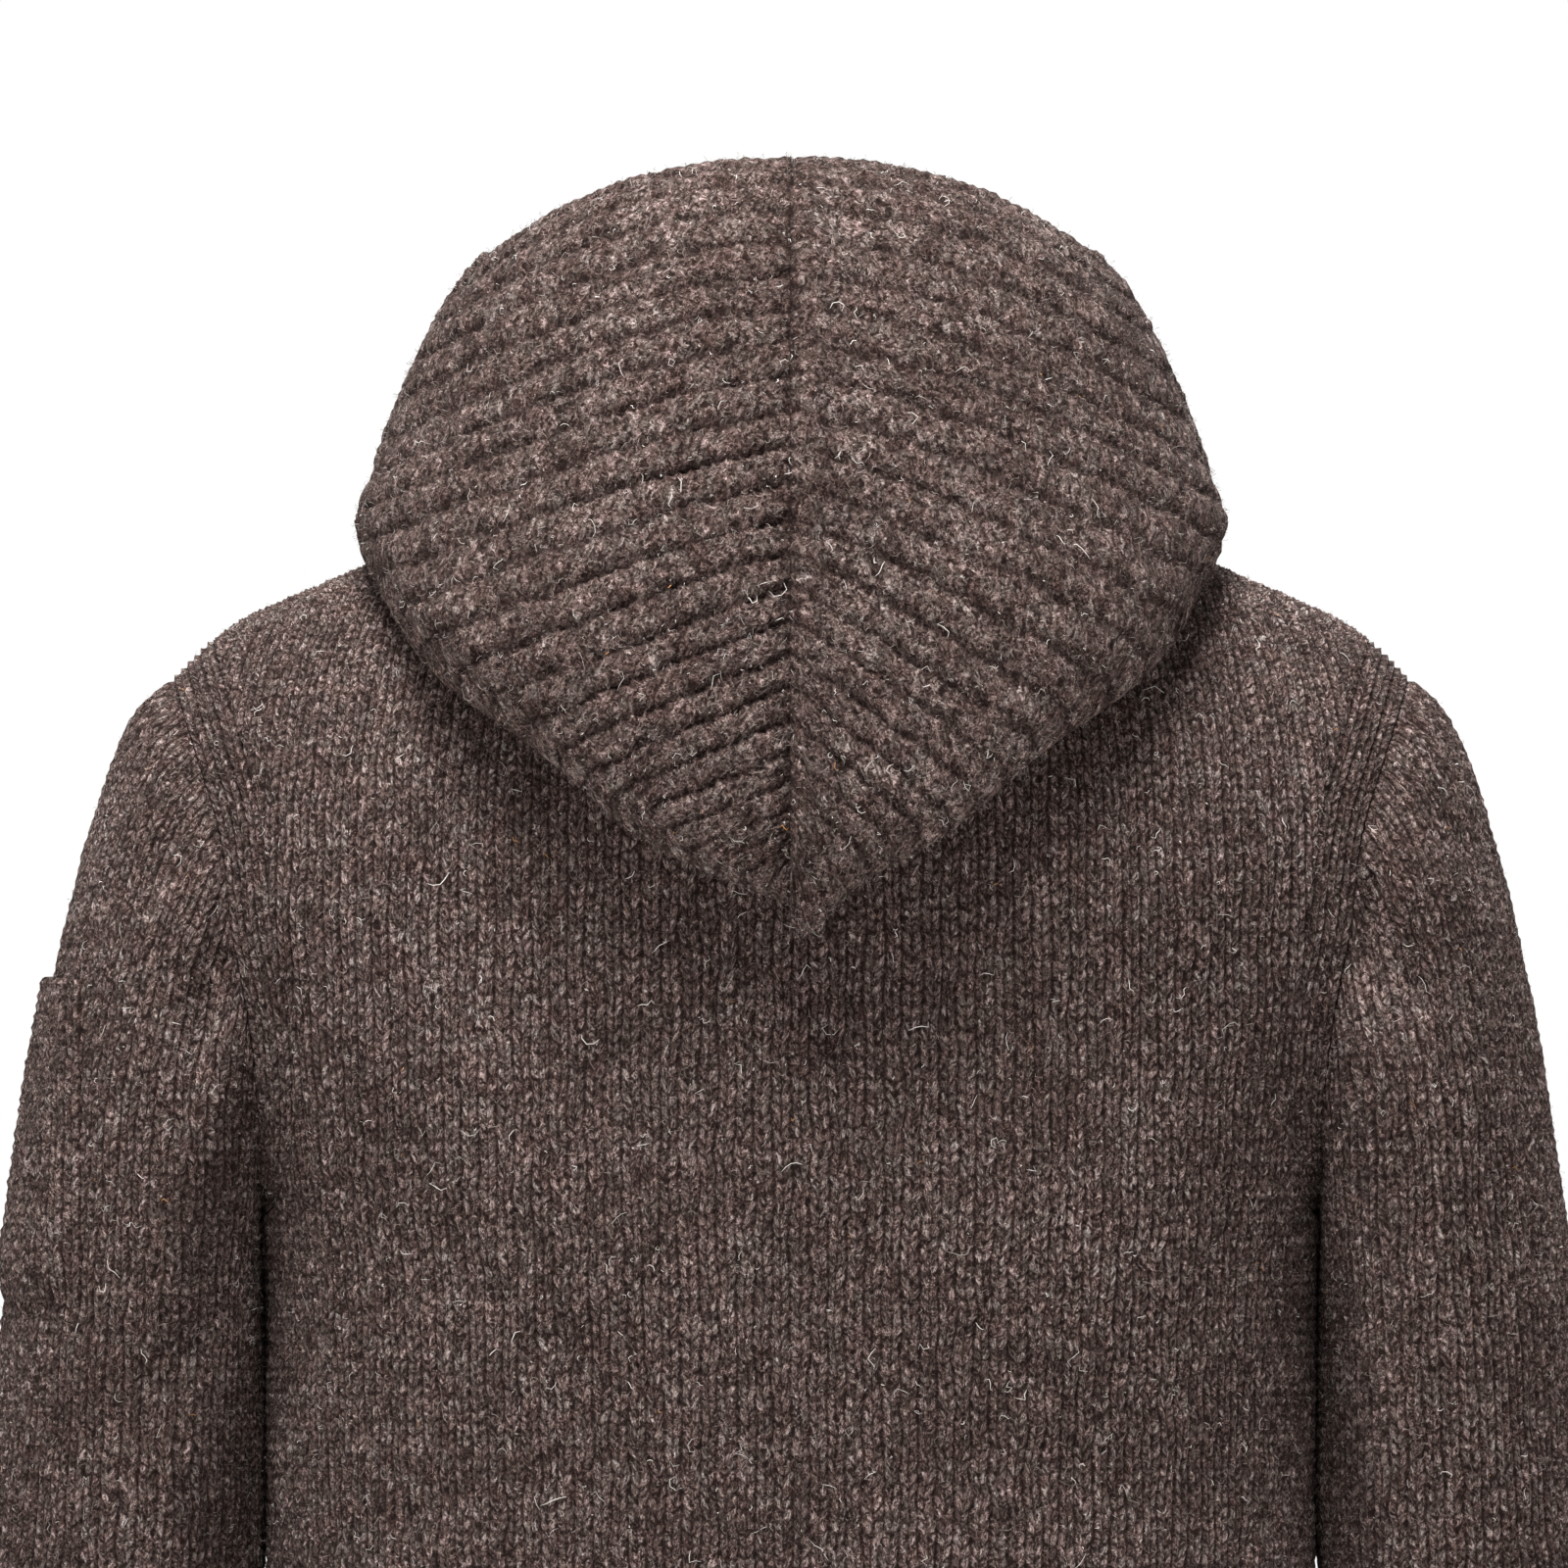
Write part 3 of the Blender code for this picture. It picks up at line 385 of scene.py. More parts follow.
def knit_wall(name, surface, places, relief, wall, material, repeat=1):
    """Closed wall of cloth: the stitched outer skin, its edge turned in, and a coarser inner skin.

    repeat is how many wales the material's pattern takes.
    """
    base = sampled(surface.points, places.rows, places.columns)
    out = unit(sampled(surface.normals, places.rows, places.columns))
    held = places.edge.copy()
    held[[0, -1]] = True
    own = np.indices(held.shape)
    last = np.array(held.shape).reshape(2, 1, 1) - 1
    near = np.minimum(np.round(own / INNER_STEP).astype(int) * INNER_STEP, last)
    near = np.where(held | held[near[0], near[1]], own, near)
    inside = (base - out * wall)[near[0], near[1]]
    skins = []
    for skin in (base + out * relief[..., None], inside):
        form = bmesh.new()
        form.loops.layers.uv.new("stitches")
        steps = [length - 1 for length in held.shape]
        bmesh.ops.create_grid(form, x_segments=steps[1], y_segments=steps[0], size=0.5, calc_uvs=True)
        mesh = meshed(form, name)
        mesh.vertices.foreach_set("co", skin.ravel())
        turned = mesh.attributes.new("turned_in", "FLOAT_VECTOR", "POINT")
        turned.data.foreach_set("vector", inside.ravel())
        flat = np.empty(len(mesh.loops) * 2, np.float32)
        mesh.uv_layers["stitches"].data.foreach_get("uv", flat)
        flat = flat.reshape(-1, 2) * np.array([steps[1] / 4 / repeat, steps[0] / 2])
        mesh.uv_layers["stitches"].data.foreach_set("uv", flat.astype(np.float32).ravel())
        skins.append(mesh)
    form = bmesh.new()
    form.from_mesh(skins[0])
    bmesh.ops.remove_doubles(form, verts=form.verts, dist=WELD)
    turned = form.verts.layers.float_vector["turned_in"]
    rim = [edge for edge in form.edges if edge.is_boundary]
    for made in bmesh.ops.extrude_edge_only(form, edges=rim)["geom"]:
        if isinstance(made, bmesh.types.BMVert):
            made.co = made[turned]
    form.from_mesh(skins[1])
    bmesh.ops.remove_doubles(form, verts=form.verts, dist=WELD)
    bmesh.ops.recalc_face_normals(form, faces=form.faces)
    mesh = skins[0]
    form.to_mesh(mesh)
    form.free()
    bpy.data.meshes.remove(skins[1])
    mesh.attributes.remove(mesh.attributes["turned_in"])
    mesh.materials.append(material)
    mesh.shade_smooth()
    return placed(name, mesh)


def linear(code):
    """An sRGB hex value as linear colour."""
    parts = [int(code[i : i + 2], 16) / 255 for i in (1, 3, 5)]
    return tuple(c / 12.92 if c <= 0.04045 else ((c + 0.055) / 1.055) ** 2.4 for c in parts) + (1.0,)


def add(tree, kind, inputs=(), **settings):
    """One node with its settings. Its inputs, by order or name, are values or other nodes' outputs."""
    made = tree.nodes.new("ShaderNode" + kind)
    for name, value in settings.items():
        setattr(made, name, value)
    for socket, value in inputs.items() if isinstance(inputs, dict) else enumerate(inputs):
        if isinstance(value, bpy.types.NodeSocket):
            tree.links.new(value, made.inputs[socket])
        else:
            made.inputs[socket].default_value = value
    return made.outputs[2] if kind == "Mix" else made.outputs[0]


def new_material(name, values):
    """A material, its node tree and its shader, with plain values on the shader's own sockets."""
    material = bpy.data.materials.new(name)
    material.use_nodes = True
    tree = material.node_tree
    shader = tree.nodes["Principled BSDF"]
    for socket, value in values.items():
        shader.inputs[socket].default_value = value
    return material, tree, shader


KERATIN_IOR = 1.55
# from the deepest painted shade in a hollow to the palest fibre
WOOL_SHADES = ("#0a0504", "#2a1f1c", "#4c403c", "#6e615d", "#90837f", "#b6aaa6")
WOOL_FINISH = {
    "Roughness": 0.95,
    "IOR": KERATIN_IOR,
    "Specular IOR Level": 0.06,
    "Sheen Weight": 0.06,
    "Sheen Roughness": 0.5,
    "Sheen Tint": linear("#9a8c86"),
}


def wool(name, tone, hairs=0.0, gap=0.0, middle=0.0, row=0.0, fuzz=0.1, steep=0.0, seam=0.0):
    """Undyed heathered wool: short light and dark fibres carded together, matt, with loose pale hairs.

    tone is where the yarn lies in the shades; hairs is how much the loose ones show; gap, middle
    and row paint shade into the hollows between wales, between a wale's two legs and between
    courses; fuzz blurs the pattern, and steep is how many courses more the fibres climb along a
    leg than the courses do. seam paints shade along the first course beside a seam. Fibres are
    drawn coarser than real ones, which would be too thin to see.
    """
    material, tree, shader = new_material(name, WOOL_FINISH)
    place = add(tree, "TexCoord").node.outputs["Object"]
    stitch = add(tree, "UVMap", uv_map="stitches")
    # loose fibres push the pattern about by a fraction of a stitch, more along the wales than across
    for scale, detail, roughness, stretch in ((420.0, 3.0, 0.7, 1.5), (130.0, 1.0, 0.5, 2.0)):
        noise = {"Vector": place, "Scale": scale, "Detail": detail, "Roughness": roughness}
        push = add(tree, "TexNoise", noise).node.outputs["Color"]
        push = add(tree, "VectorMath", (push, (0.5, 0.5, 0.5)), operation="SUBTRACT")
        push = add(tree, "VectorMath", (push, (fuzz, fuzz * stretch, 0.0)), operation="MULTIPLY")
        stitch = add(tree, "VectorMath", (stitch, push), operation="ADD")
    across, up, _ = add(tree, "SeparateXYZ", (stitch,)).node.outputs
    from_gap = add(tree, "Math", (across, 0.5), operation="PINGPONG")

    # 4 mm cloudings of dark and light wool in the yarn
    cloud = add(tree, "TexNoise", {"Vector": place, "Scale": 230.0, "Detail": 4.0, "Roughness": 0.65})
    cloud = add(tree, "MapRange", (cloud, 0.32, 0.68, tone * 0.72, tone * 1.28))
    # fibres run along each leg, a millimetre across and two long
    climb = add(tree, "Math", (from_gap, 2 * steep, up), operation="MULTIPLY_ADD")
    grain = add(tree, "CombineXYZ", (across, climb))
    grain = add(tree, "VectorMath", (grain, (8.0, 2.2, 1.0)), operation="MULTIPLY")
    streak = add(tree, "TexNoise", {"Vector": grain, "Scale": 1.0, "Detail": 3.0, "Roughness": 0.65})
    streak = add(tree, "MapRange", (streak, 0.34, 0.66, 0.45, 1.60))
    # curly fibres a third of a millimetre wide, with darkness between them
    fleck = {"Vector": place, "Scale": 400.0, "Detail": 2.0, "Roughness": 0.6, "Distortion": 0.8}
    fleck = add(tree, "TexNoise", fleck)
    fleck = add(tree, "Math", (fleck, 0.5), operation="SUBTRACT")
    fleck = add(tree, "Math", (fleck,), operation="ABSOLUTE")
    fleck = add(tree, "MapRange", (fleck, 0.0, 0.15, 1.60, 0.48))
    # each leg is a little lighter or darker than its neighbour, and the whole cloth is patchy
    halves = add(tree, "VectorMath", (stitch, (2.0, 1.0, 0.0)), operation="MULTIPLY")
    cell = add(tree, "VectorMath", (halves,), operation="FLOOR")
    leg = add(tree, "TexWhiteNoise", {"Vector": cell}, noise_dimensions="3D")
    leg = add(tree, "MapRange", (leg, 0.0, 1.0, 0.80, 1.18))
    broad = add(tree, "TexNoise", {"Vector": place, "Scale": 24.0, "Detail": 3.0})
    broad = add(tree, "MapRange", (broad, 0.3, 0.7, 0.90, 1.10))
    shade = cloud
    for part in (streak, fleck, leg, broad):
        shade = add(tree, "Math", (shade, part), operation="MULTIPLY")
    # painted shade in the hollows between wales, between a wale's two legs, between legs above each
    # other and along the seam
    from_row = add(tree, "Math", (up, 0.5), operation="PINGPONG")
    from_seam = add(tree, "Math", (up,), operation="ABSOLUTE")
    for distance, bottom, brink, dark, rise in (
        (from_gap, 0.0, 0.16, gap, "SMOOTHSTEP"),
        (from_gap, 0.5, 0.37, middle, "SMOOTHSTEP"),
        (from_row, 0.0, 0.26, row, "SMOOTHSTEP"),
        (from_seam, 0.0, 1.0, seam, "LINEAR"),
    ):
        painted_hollow_shade = add(tree, "MapRange", (distance, bottom, brink, 1 - dark), interpolation_type=rise)
        shade = add(tree, "Math", (shade, painted_hollow_shade), operation="MULTIPLY")
    # curly pale hairs lying on the surface, a fraction of a millimetre wide
    curl = add(tree, "TexNoise", {"Vector": place, "Scale": 360.0, "Detail": 1.5, "Distortion": 1.6})
    curl = add(tree, "Math", (curl, 0.5), operation="SUBTRACT")
    curl = add(tree, "Math", (curl,), operation="ABSOLUTE")
    curl = add(tree, "MapRange", (curl, 0.006, 0.032, hairs, 0.0))
    where = add(tree, "TexNoise", {"Vector": place, "Scale": 300.0, "Detail": 2.0})
    where = add(tree, "MapRange", (where, 0.46, 0.60))
    shade = add(tree, "Math", (curl, where, shade), operation="MULTIPLY_ADD")
    colour = add(tree, "ValToRGB", (shade,))
    ramp = colour.node.color_ramp
    ramp.elements[0].color, ramp.elements[1].color = linear(WOOL_SHADES[0]), linear(WOOL_SHADES[-1])
    for number, code in enumerate(WOOL_SHADES[1:-1], 1):
        ramp.elements.new(number / (len(WOOL_SHADES) - 1)).color = linear(code)
    # a few millimetres of redder fibres here, of greyer ones there
    tint = add(tree, "TexNoise", {"Vector": place, "Scale": 150.0, "Detail": 3.0, "Roughness": 0.7})
    tint = add(tree, "MapRange", (tint, 0.38, 0.62))
    tint = {0: tint, 6: (0.97, 1.0, 0.99, 1.0), 7: (1.10, 0.975, 0.975, 1.0)}
    tint = add(tree, "Mix", tint, data_type="RGBA")
    colour = add(tree, "Mix", {0: 1.0, 6: colour, 7: tint}, data_type="RGBA", blend_type="MULTIPLY")
    tree.links.new(colour, shader.inputs["Base Color"])
    # fibres stand a tenth or two of a millimetre proud
    fine = add(tree, "TexNoise", {"Vector": place, "Scale": 800.0, "Detail": 3.0, "Roughness": 0.7})
    fine = add(tree, "Math", (streak, 0.6, fine), operation="MULTIPLY_ADD")
    fine = add(tree, "Math", (curl, fine), operation="ADD")
    bump = add(tree, "Bump", {"Height": fine, "Strength": 0.9, "Distance": 0.0006})
    tree.links.new(bump, shader.inputs["Normal"])
    return material


plain_wool = wool(
    "plain_knit_wool", tone=0.385, hairs=0.36, gap=0.56, middle=0.42, row=0.40, fuzz=0.30, steep=1.0
)

back_surface = body_surface(1, None, BACK_FOLDS)
back_places = knit_places(back_surface)
back = knit_wall("back_knit", back_surface, back_places, plain_knit(back_places, 3), BODY_WALL, plain_wool)
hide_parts("back")
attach(back, "root")

# ---------------------------------------------------------------- fronts
# Two fronts in the same plain knit, joined to the back at the shoulders and sides. The photograph
# doesn't show them, so their soft creases are like the back's: a few drag lines from the armholes.

OPENING_HALF_WIDTH = 0.018
FRONT_LEFT_FOLDS = (
    Fold(-1, 0.160, -0.160, 78, 0.075, 0.013, 0.0038),
    Fold(-1, 0.118, -0.125, 60, 0.060, 0.014, 0.0024),
    Fold(-1, 0.095, -0.245, 24, 0.070, 0.017, 0.0020),
    Fold(-1, 0.130, -0.330, -20, 0.060, 0.015, 0.0026),
    Fold(-1, 0.085, -0.440, 12, 0.065, 0.018, 0.0024),
    Fold(-1, 0.120, -0.545, -10, 0.060, 0.017, 0.0022),
)
FRONT_RIGHT_FOLDS = (
    Fold(-1, 0.168, -0.150, 84, 0.070, 0.012, 0.0034),
    Fold(-1, 0.110, -0.170, 48, 0.055, 0.015, 0.0026),
    Fold(-1, 0.100, -0.290, -14, 0.070, 0.018, 0.0022),
    Fold(-1, 0.125, -0.385, 22, 0.055, 0.014, 0.0028),
    Fold(-1, 0.090, -0.500, -8, 0.075, 0.018, 0.0024),
)


def mirrored(surface):
    """The same piece for the wearer's other side."""
    other = np.array([-1.0, 1.0, 1.0])
    return surface._replace(points=surface.points * other, normals=surface.normals * other)


front_places = {}
for side, folds, seed in (("left", FRONT_LEFT_FOLDS, 11), ("right", FRONT_RIGHT_FOLDS, 17)):
    surface = body_surface(-1, OPENING_HALF_WIDTH, folds)
    places = knit_places(surface)
    surface = surface if side == "left" else mirrored(surface)
    front_places[side] = surface, places
    front = knit_wall(f"front_{side}_knit", surface, places, plain_knit(places, seed), BODY_WALL, plain_wool)
    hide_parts(f"front_{side}")
    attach(front, "root")

# ---------------------------------------------------------------- hem
# A 65 mm ribbed border below each body piece, one wale up and one wale down, drawn in a little.
# Its three lengths are sewn at the sides, and the fronts' lengths end at the button bands.

RIB_PITCH = 0.0138
SEAM_GAP = 0.0003


def rib_knit(places, seed, ridge=0.0013, furrow=0.0011):
    """Height of ribbing: a plump wale of legs, then a sunk wale of purl bumps, and so on."""
    from_gap = abs((places.wale + 0.5) % 1.0 - 0.5)
    knit = np.floor(places.wale + 1e-6) % 2 == 0
    crest = np.round(places.level * 2) % 2 == 1
    legs = np.where(from_gap < 0.4, ridge, ridge * 0.72) + np.where(crest, 0.00015, -0.00040)
    bumps = -furrow + np.where(crest, 0.00030, -0.00020)
    relief = np.where(from_gap < 0.1, -0.35 * furrow, np.where(knit, legs, bumps))
    relief = relief + 0.0003 * uneven(relief.shape, (8, 10), seed)
    relief = relief + 0.0002 * uneven(relief.shape, (1.3, 2.5), seed + 1)
    return np.where(places.edge, -0.0007, relief)


rib_wool = wool("ribbed_wool", tone=0.375, hairs=0.32, gap=0.56, middle=0.40, row=0.38, fuzz=0.28, steep=1.0)

for name, face, opening, flat, seed in (
    ("hem_back", 1, None, (0.545, 0.065), 23),
    ("hem_front_left", -1, OPENING_HALF_WIDTH, (0.248, 0.065), 29),
    ("hem_front_right", -1, OPENING_HALF_WIDTH, (0.248, 0.065), 31),
):
    heights = np.linspace(HEM_BOTTOM, HEM_TOP - SEAM_GAP, 14)
    points, across = body_grid(heights, np.full(14, -90.0), face, opening)
    normals = surface_normals(points, face)
    normals[:, -1] = (1.0, 0.0, 0.0)
    if opening is None:
        normals[:, 0] = (-1.0, 0.0, 0.0)
    else:
        normals[:, 0, 0] = 0.0
    normals[..., 2] = 0.0
    ribs = round(float(np.ptp(across[0])) / RIB_PITCH)
    across = across / np.ptp(across, axis=1)[:, None] * 2 * ribs
    up = np.repeat(points[:, :1, 2], points.shape[1], axis=1)
    surface = Surface(points, unit(normals), across, up)
    places = knit_places(surface, strip=0)
    surface = mirrored(surface) if name.endswith("right") else surface
    hem = knit_wall(name + "_knit", surface, places, rib_knit(places, seed), BODY_WALL, rib_wool)
    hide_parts(name)
    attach(hem, "root")

# ---------------------------------------------------------------- sleeves
# Each sleeve is knitted flat from the cuff up, widened beside its underarm seam, sewn into a tube
# and set into the armhole. It hangs full at the top, with drag lines fanning from the armhole.

# outer and inner point seen from behind, half depth behind and before, how far it lies forward
SLEEVE = np.array(
    [
        (0.2265, -0.0410, 0.1960, -0.238, 0.0680, 0.0620, 0.000),
        (0.2385, -0.0515, 0.1950, -0.247, 0.0750, 0.0690, 0.000),
        (0.2465, -0.0660, 0.1940, -0.258, 0.0780, 0.0720, 0.000),
        (0.2535, -0.0860, 0.1933, -0.270, 0.0785, 0.0735, 0.001),
        (0.2612, -0.1120, 0.1929, -0.283, 0.0775, 0.0735, 0.002),
        (0.2685, -0.1430, 0.1926, -0.297, 0.0755, 0.0720, 0.003),
        (0.2752, -0.1770, 0.1924, -0.312, 0.0730, 0.0700, 0.004),
        (0.2806, -0.2130, 0.1922, -0.328, 0.0700, 0.0680, 0.005),
        (0.2862, -0.2520, 0.1924, -0.346, 0.0670, 0.0650, 0.006),
        (0.2915, -0.2940, 0.1940, -0.368, 0.0630, 0.0620, 0.008),
        (0.2968, -0.3380, 0.1980, -0.394, 0.0590, 0.0590, 0.011),
        (0.3015, -0.3830, 0.2055, -0.424, 0.0550, 0.0560, 0.016),
        (0.3055, -0.4280, 0.2150, -0.457, 0.0520, 0.0530, 0.023),
        (0.3090, -0.4730, 0.2250, -0.492, 0.0490, 0.0500, 0.032),
        (0.3118, -0.5180, 0.2345, -0.529, 0.0460, 0.0470, 0.042),
        (0.3140, -0.5600, 0.2425, -0.566, 0.0430, 0.0440, 0.052),
        (0.3148, -0.5950, 0.2480, -0.600, 0.0390, 0.0400, 0.060),
        (0.3145, -0.6300, 0.2495, -0.634, 0.0370, 0.0380, 0.068),
    ]
)
SLEEVE_END = 15
SLEEVE_ROWS = 121
ARMHOLE_FADE = 4
SLEEVE_TURNS = np.arange(-90.0, 271.0, 2.5)
SLEEVE_LEFT_FOLDS = (
    Fold(1, 0.222, -0.156, -46, 0.036, 0.0200, 0.0038),
    Fold(1, 0.215, -0.165, -78, 0.065, 0.0080, 0.0085),
    Fold(1, 0.236, -0.112, -58, 0.045, 0.0080, 0.0036),
    Fold(1, 0.208, -0.240, -84, 0.090, 0.0110, 0.0170),
    Fold(1, 0.206, -0.350, -88, 0.090, 0.0140, 0.0180),
    Fold(1, 0.236, -0.300, -60, 0.055, 0.0110, 0.0030),
    Fold(1, 0.250, -0.402, 34, 0.045, 0.0120, 0.0046),
    Fold(1, 0.262, -0.446, -22, 0.045, 0.0110, 0.0042),
    Fold(1, 0.268, -0.512, 24, 0.042, 0.0110, 0.0040),
    Fold(-1, 0.225, -0.150, -60, 0.060, 0.0095, 0.0040),
    Fold(-1, 0.232, -0.230, -52, 0.050, 0.0100, 0.0030),
    Fold(-1, 0.252, -0.382, 16, 0.050, 0.0120, 0.0048),
    Fold(-1, 0.262, -0.425, -14, 0.046, 0.0110, 0.0044),
    Fold(-1, 0.270, -0.500, 18, 0.045, 0.0120, 0.0036),
)
SLEEVE_RIGHT_FOLDS = (
    Fold(1, 0.222, -0.144, -50, 0.038, 0.0210, 0.0046),
    Fold(1, 0.2175, -0.138, -72, 0.058, 0.0085, 0.0095),
    Fold(1, 0.246, -0.104, -50, 0.045, 0.0080, 0.0040),
    Fold(1, 0.210, -0.232, -82, 0.080, 0.0075, 0.0120),
    Fold(1, 0.205, -0.330, -87, 0.085, 0.0110, 0.0150),
    Fold(1, 0.240, -0.262, -64, 0.060, 0.0105, 0.0024),
    Fold(1, 0.252, -0.392, 28, 0.048, 0.0120, 0.0044),
    Fold(1, 0.258, -0.438, -26, 0.044, 0.0110, 0.0044),
    Fold(1, 0.270, -0.498, 12, 0.048, 0.0120, 0.0036),
    Fold(-1, 0.228, -0.140, -64, 0.055, 0.0095, 0.0042),
    Fold(-1, 0.230, -0.245, -56, 0.050, 0.0105, 0.0028),
    Fold(-1, 0.250, -0.372, 22, 0.048, 0.0120, 0.0046),
    Fold(-1, 0.265, -0.436, -10, 0.050, 0.0110, 0.0040),
    Fold(-1, 0.268, -0.520, 20, 0.040, 0.0110, 0.0036),
)


def sleeve_points(rings, turns):
    """Outer surface of the left sleeve: rings down the arm, turns round it (90 outer, 0 behind)."""
    known = np.arange(len(SLEEVE))
    outer_x, outer_z, inner_x, inner_z, back, front, forward = (
        column[:, None] for column in through(known, SLEEVE, rings).T
    )
    rise, reach = np.sin(np.radians(turns))[None, :], np.cos(np.radians(turns))[None, :]
    x = (outer_x + inner_x) / 2 + (outer_x - inner_x) / 2 * rise
    z = (outer_z + inner_z) / 2 + (outer_z - inner_z) / 2 * rise
    depth = np.where(reach > 0, back, front) * reach
    seam_turns = np.where(turns <= 90, turns, 180 - turns)
    seam_heights = ARMHOLE_MIDDLE + ARMHOLE_RADIUS * np.sin(np.radians(seam_turns))
    seam_x = through(TORSO[:, 0], TORSO[:, 1], seam_heights) * seam_share(seam_turns)
    straight = (SLEEVE[0, 0] + SLEEVE[0, 2]) / 2 + (SLEEVE[0, 0] - SLEEVE[0, 2]) / 2 * rise
    x = x + (1 - ease(np.asarray(rings, float), 0, ARMHOLE_FADE))[:, None] * (seam_x - straight)
    slopes = np.gradient(SLEEVE[:, 6], (SLEEVE[:, 1] + SLEEVE[:, 3]) / 2)
    lean = np.interp(rings, known, slopes)[:, None]
    return np.stack([x, depth - forward, z + lean * depth], axis=-1)


def tube_normals(points, level_rows):
    """Outward directions on a sleeve or cuff. The rows named lie level with the tube's end."""
    normals = surface_normals(points, 1)
    normals[:, 0] = normals[:, -1] = unit(normals[:, 0] + normals[:, -1])
    for row in level_rows:
        ring = points[row]
        axis = unit(np.cross(ring[20] - ring[0], ring[-20] - ring[0]))
        normals[row] = unit(normals[row] - (normals[row] @ axis)[:, None] * axis)
    return normals


def level_arcs(points, middle):
    """How far round the arm each point lies from the sleeve's outer line, and how far up the arm.

    Both are read along level lines, so the wales run down the arm beside each other, and the
    armhole seam cuts across them as it does on a sleeve's shaped top.
    """
    height, rows = points[..., 2], np.arange(float(len(points)))
    levels = np.linspace(height.min(), height.max(), 220)
    columns = range(points.shape[1])
    level_rows = np.array([np.interp(levels, height[:, j], rows) for j in columns]).T
    line = sampled(points, level_rows, np.broadcast_to(np.arange(float(len(columns))), level_rows.shape))
    arcs = steps_along(line, 1)
    arcs -= arcs[:, middle : middle + 1]
    across = np.array([np.interp(height[:, j], levels, arcs[:, j]) for j in columns]).T
    outer, climb = points[:, middle, 2], steps_along(points, 0)[:, middle]
    up = np.interp(height, np.append(outer[0] - 0.02, outer), np.append(-0.02, climb))
    return across, up


def sleeve_surface(folds):
    rings = np.linspace(SLEEVE_END, 0, SLEEVE_ROWS)
    points = sleeve_points(rings, SLEEVE_TURNS)
    behind = SLEEVE_TURNS <= 90
    seam_turns = np.where(behind, SLEEVE_TURNS, 180 - SLEEVE_TURNS)
    heights = ARMHOLE_MIDDLE + ARMHOLE_RADIUS * np.sin(np.radians(seam_turns))
    ones = np.ones((len(seam_turns), 1))
    for part, face in ((behind, 1), (~behind, -1)):
        points[-1, part] = body_points(ones, heights, seam_turns, face)[part, 0]
    middle = np.searchsorted(SLEEVE_TURNS, 90.0)
    across, up = level_arcs(points, middle)
    normals = tube_normals(points, (0,))
    climbed = steps_along(points, 0)
    hold = ease(climbed, 0, 0.03) * ease(climbed[-1:] - climbed, 0.001, 0.009)
    points = folded(points, normals, folds, hold)
    points[:, -1] = points[:, 0] = (points[:, 0] + points[:, -1]) / 2
    normals = tube_normals(points, (0,))
    for part, face, order in ((behind, 1, 1), (~behind, -1, -1)):
        seam, turns = points[-1, part][::order], seam_turns[part][::order]
        normals[-1, part] = armhole_normals(seam, turns, face)[::order]
    return Surface(points, unit(normals), across / WALE, up)


sleeve_places = {}
for side, folds, seed in (("left", SLEEVE_LEFT_FOLDS, 37), ("right", SLEEVE_RIGHT_FOLDS, 41)):
    surface = sleeve_surface(folds)
    places = knit_places(surface, strip=1)
    surface = surface if side == "left" else mirrored(surface)
    sleeve_places[side] = surface, places
    knitting = plain_knit(places, seed, groove=0.00025)
    sleeve = knit_wall(f"sleeve_{side}_knit", surface, places, knitting, BODY_WALL, plain_wool)
    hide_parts(f"sleeve_{side}")
    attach(sleeve, "root")

# ---------------------------------------------------------------- cuffs
# A short ribbed cuff ends each sleeve, knitted with it and drawn in round the wrist.

CUFF_RIBS = 17
CUFF_WALL = 0.0042
for side, seed in (("left", 43), ("right", 47)):
    points = sleeve_points(np.linspace(SLEEVE_END + 2, SLEEVE_END, 16), SLEEVE_TURNS)
    points[-1] += unit(points[0].mean(axis=0) - points[-1].mean(axis=0)) * SEAM_GAP
    across = steps_along(points, 1)
    across = (across / across[:, -1:] - 0.5) * 2 * CUFF_RIBS
    surface = Surface(points, tube_normals(points, (0, -1)), across, steps_along(points, 0))
    places = knit_places(surface, strip=0)
    surface = surface if side == "left" else mirrored(surface)
    cuff = knit_wall(f"cuff_{side}_knit", surface, places, rib_knit(places, seed), CUFF_WALL, rib_wool)
    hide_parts(f"cuff_{side}")
    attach(cuff, "root")

# ---------------------------------------------------------------- sleeve pocket
# A patch of plain knit sewn flat to the left upper sleeve on three sides, open at its top. Only
# its rear edge shows at the photograph's left side.

POCKET_REAR_EDGE = 0.259
POCKET_TOP = -0.151
POCKET_HEIGHT = 0.118
POCKET_WIDTH = 0.105
POCKET_WALL = 0.0026
# how far it stands off the sleeve at its seams and in its middle, and where it rounds over
POCKET_LIFT = (0.0012, 0.0044)
POCKET_ROUNDING = (0.012, 0.014)
POCKET_GRID = (30, 31)

carrier = sleeve_surface(())
outer = np.flatnonzero((SLEEVE_TURNS >= 10) & (SLEEVE_TURNS <= 170))
sleeve_rows = np.arange(float(SLEEVE_ROWS))
lines = []
for height in np.linspace(POCKET_TOP - POCKET_HEIGHT, POCKET_TOP, POCKET_GRID[0]):
    rows = np.array([np.interp(height, carrier.points[:, j, 2], sleeve_rows) for j in outer])
    section = sampled(carrier.points, rows, outer.astype(float))
    along = np.concatenate([[0.0], np.cumsum(np.linalg.norm(np.diff(section, axis=0), axis=1))])
    rear = np.interp(POCKET_REAR_EDGE, section[:30, 0], along[:30])
    wanted = np.linspace(rear, rear + POCKET_WIDTH, POCKET_GRID[1])
    lines.append(np.stack([np.interp(wanted, along, section[:, axis]) for axis in range(3)], axis=1))
points = np.array(lines)
normals = surface_normals(points, 1)
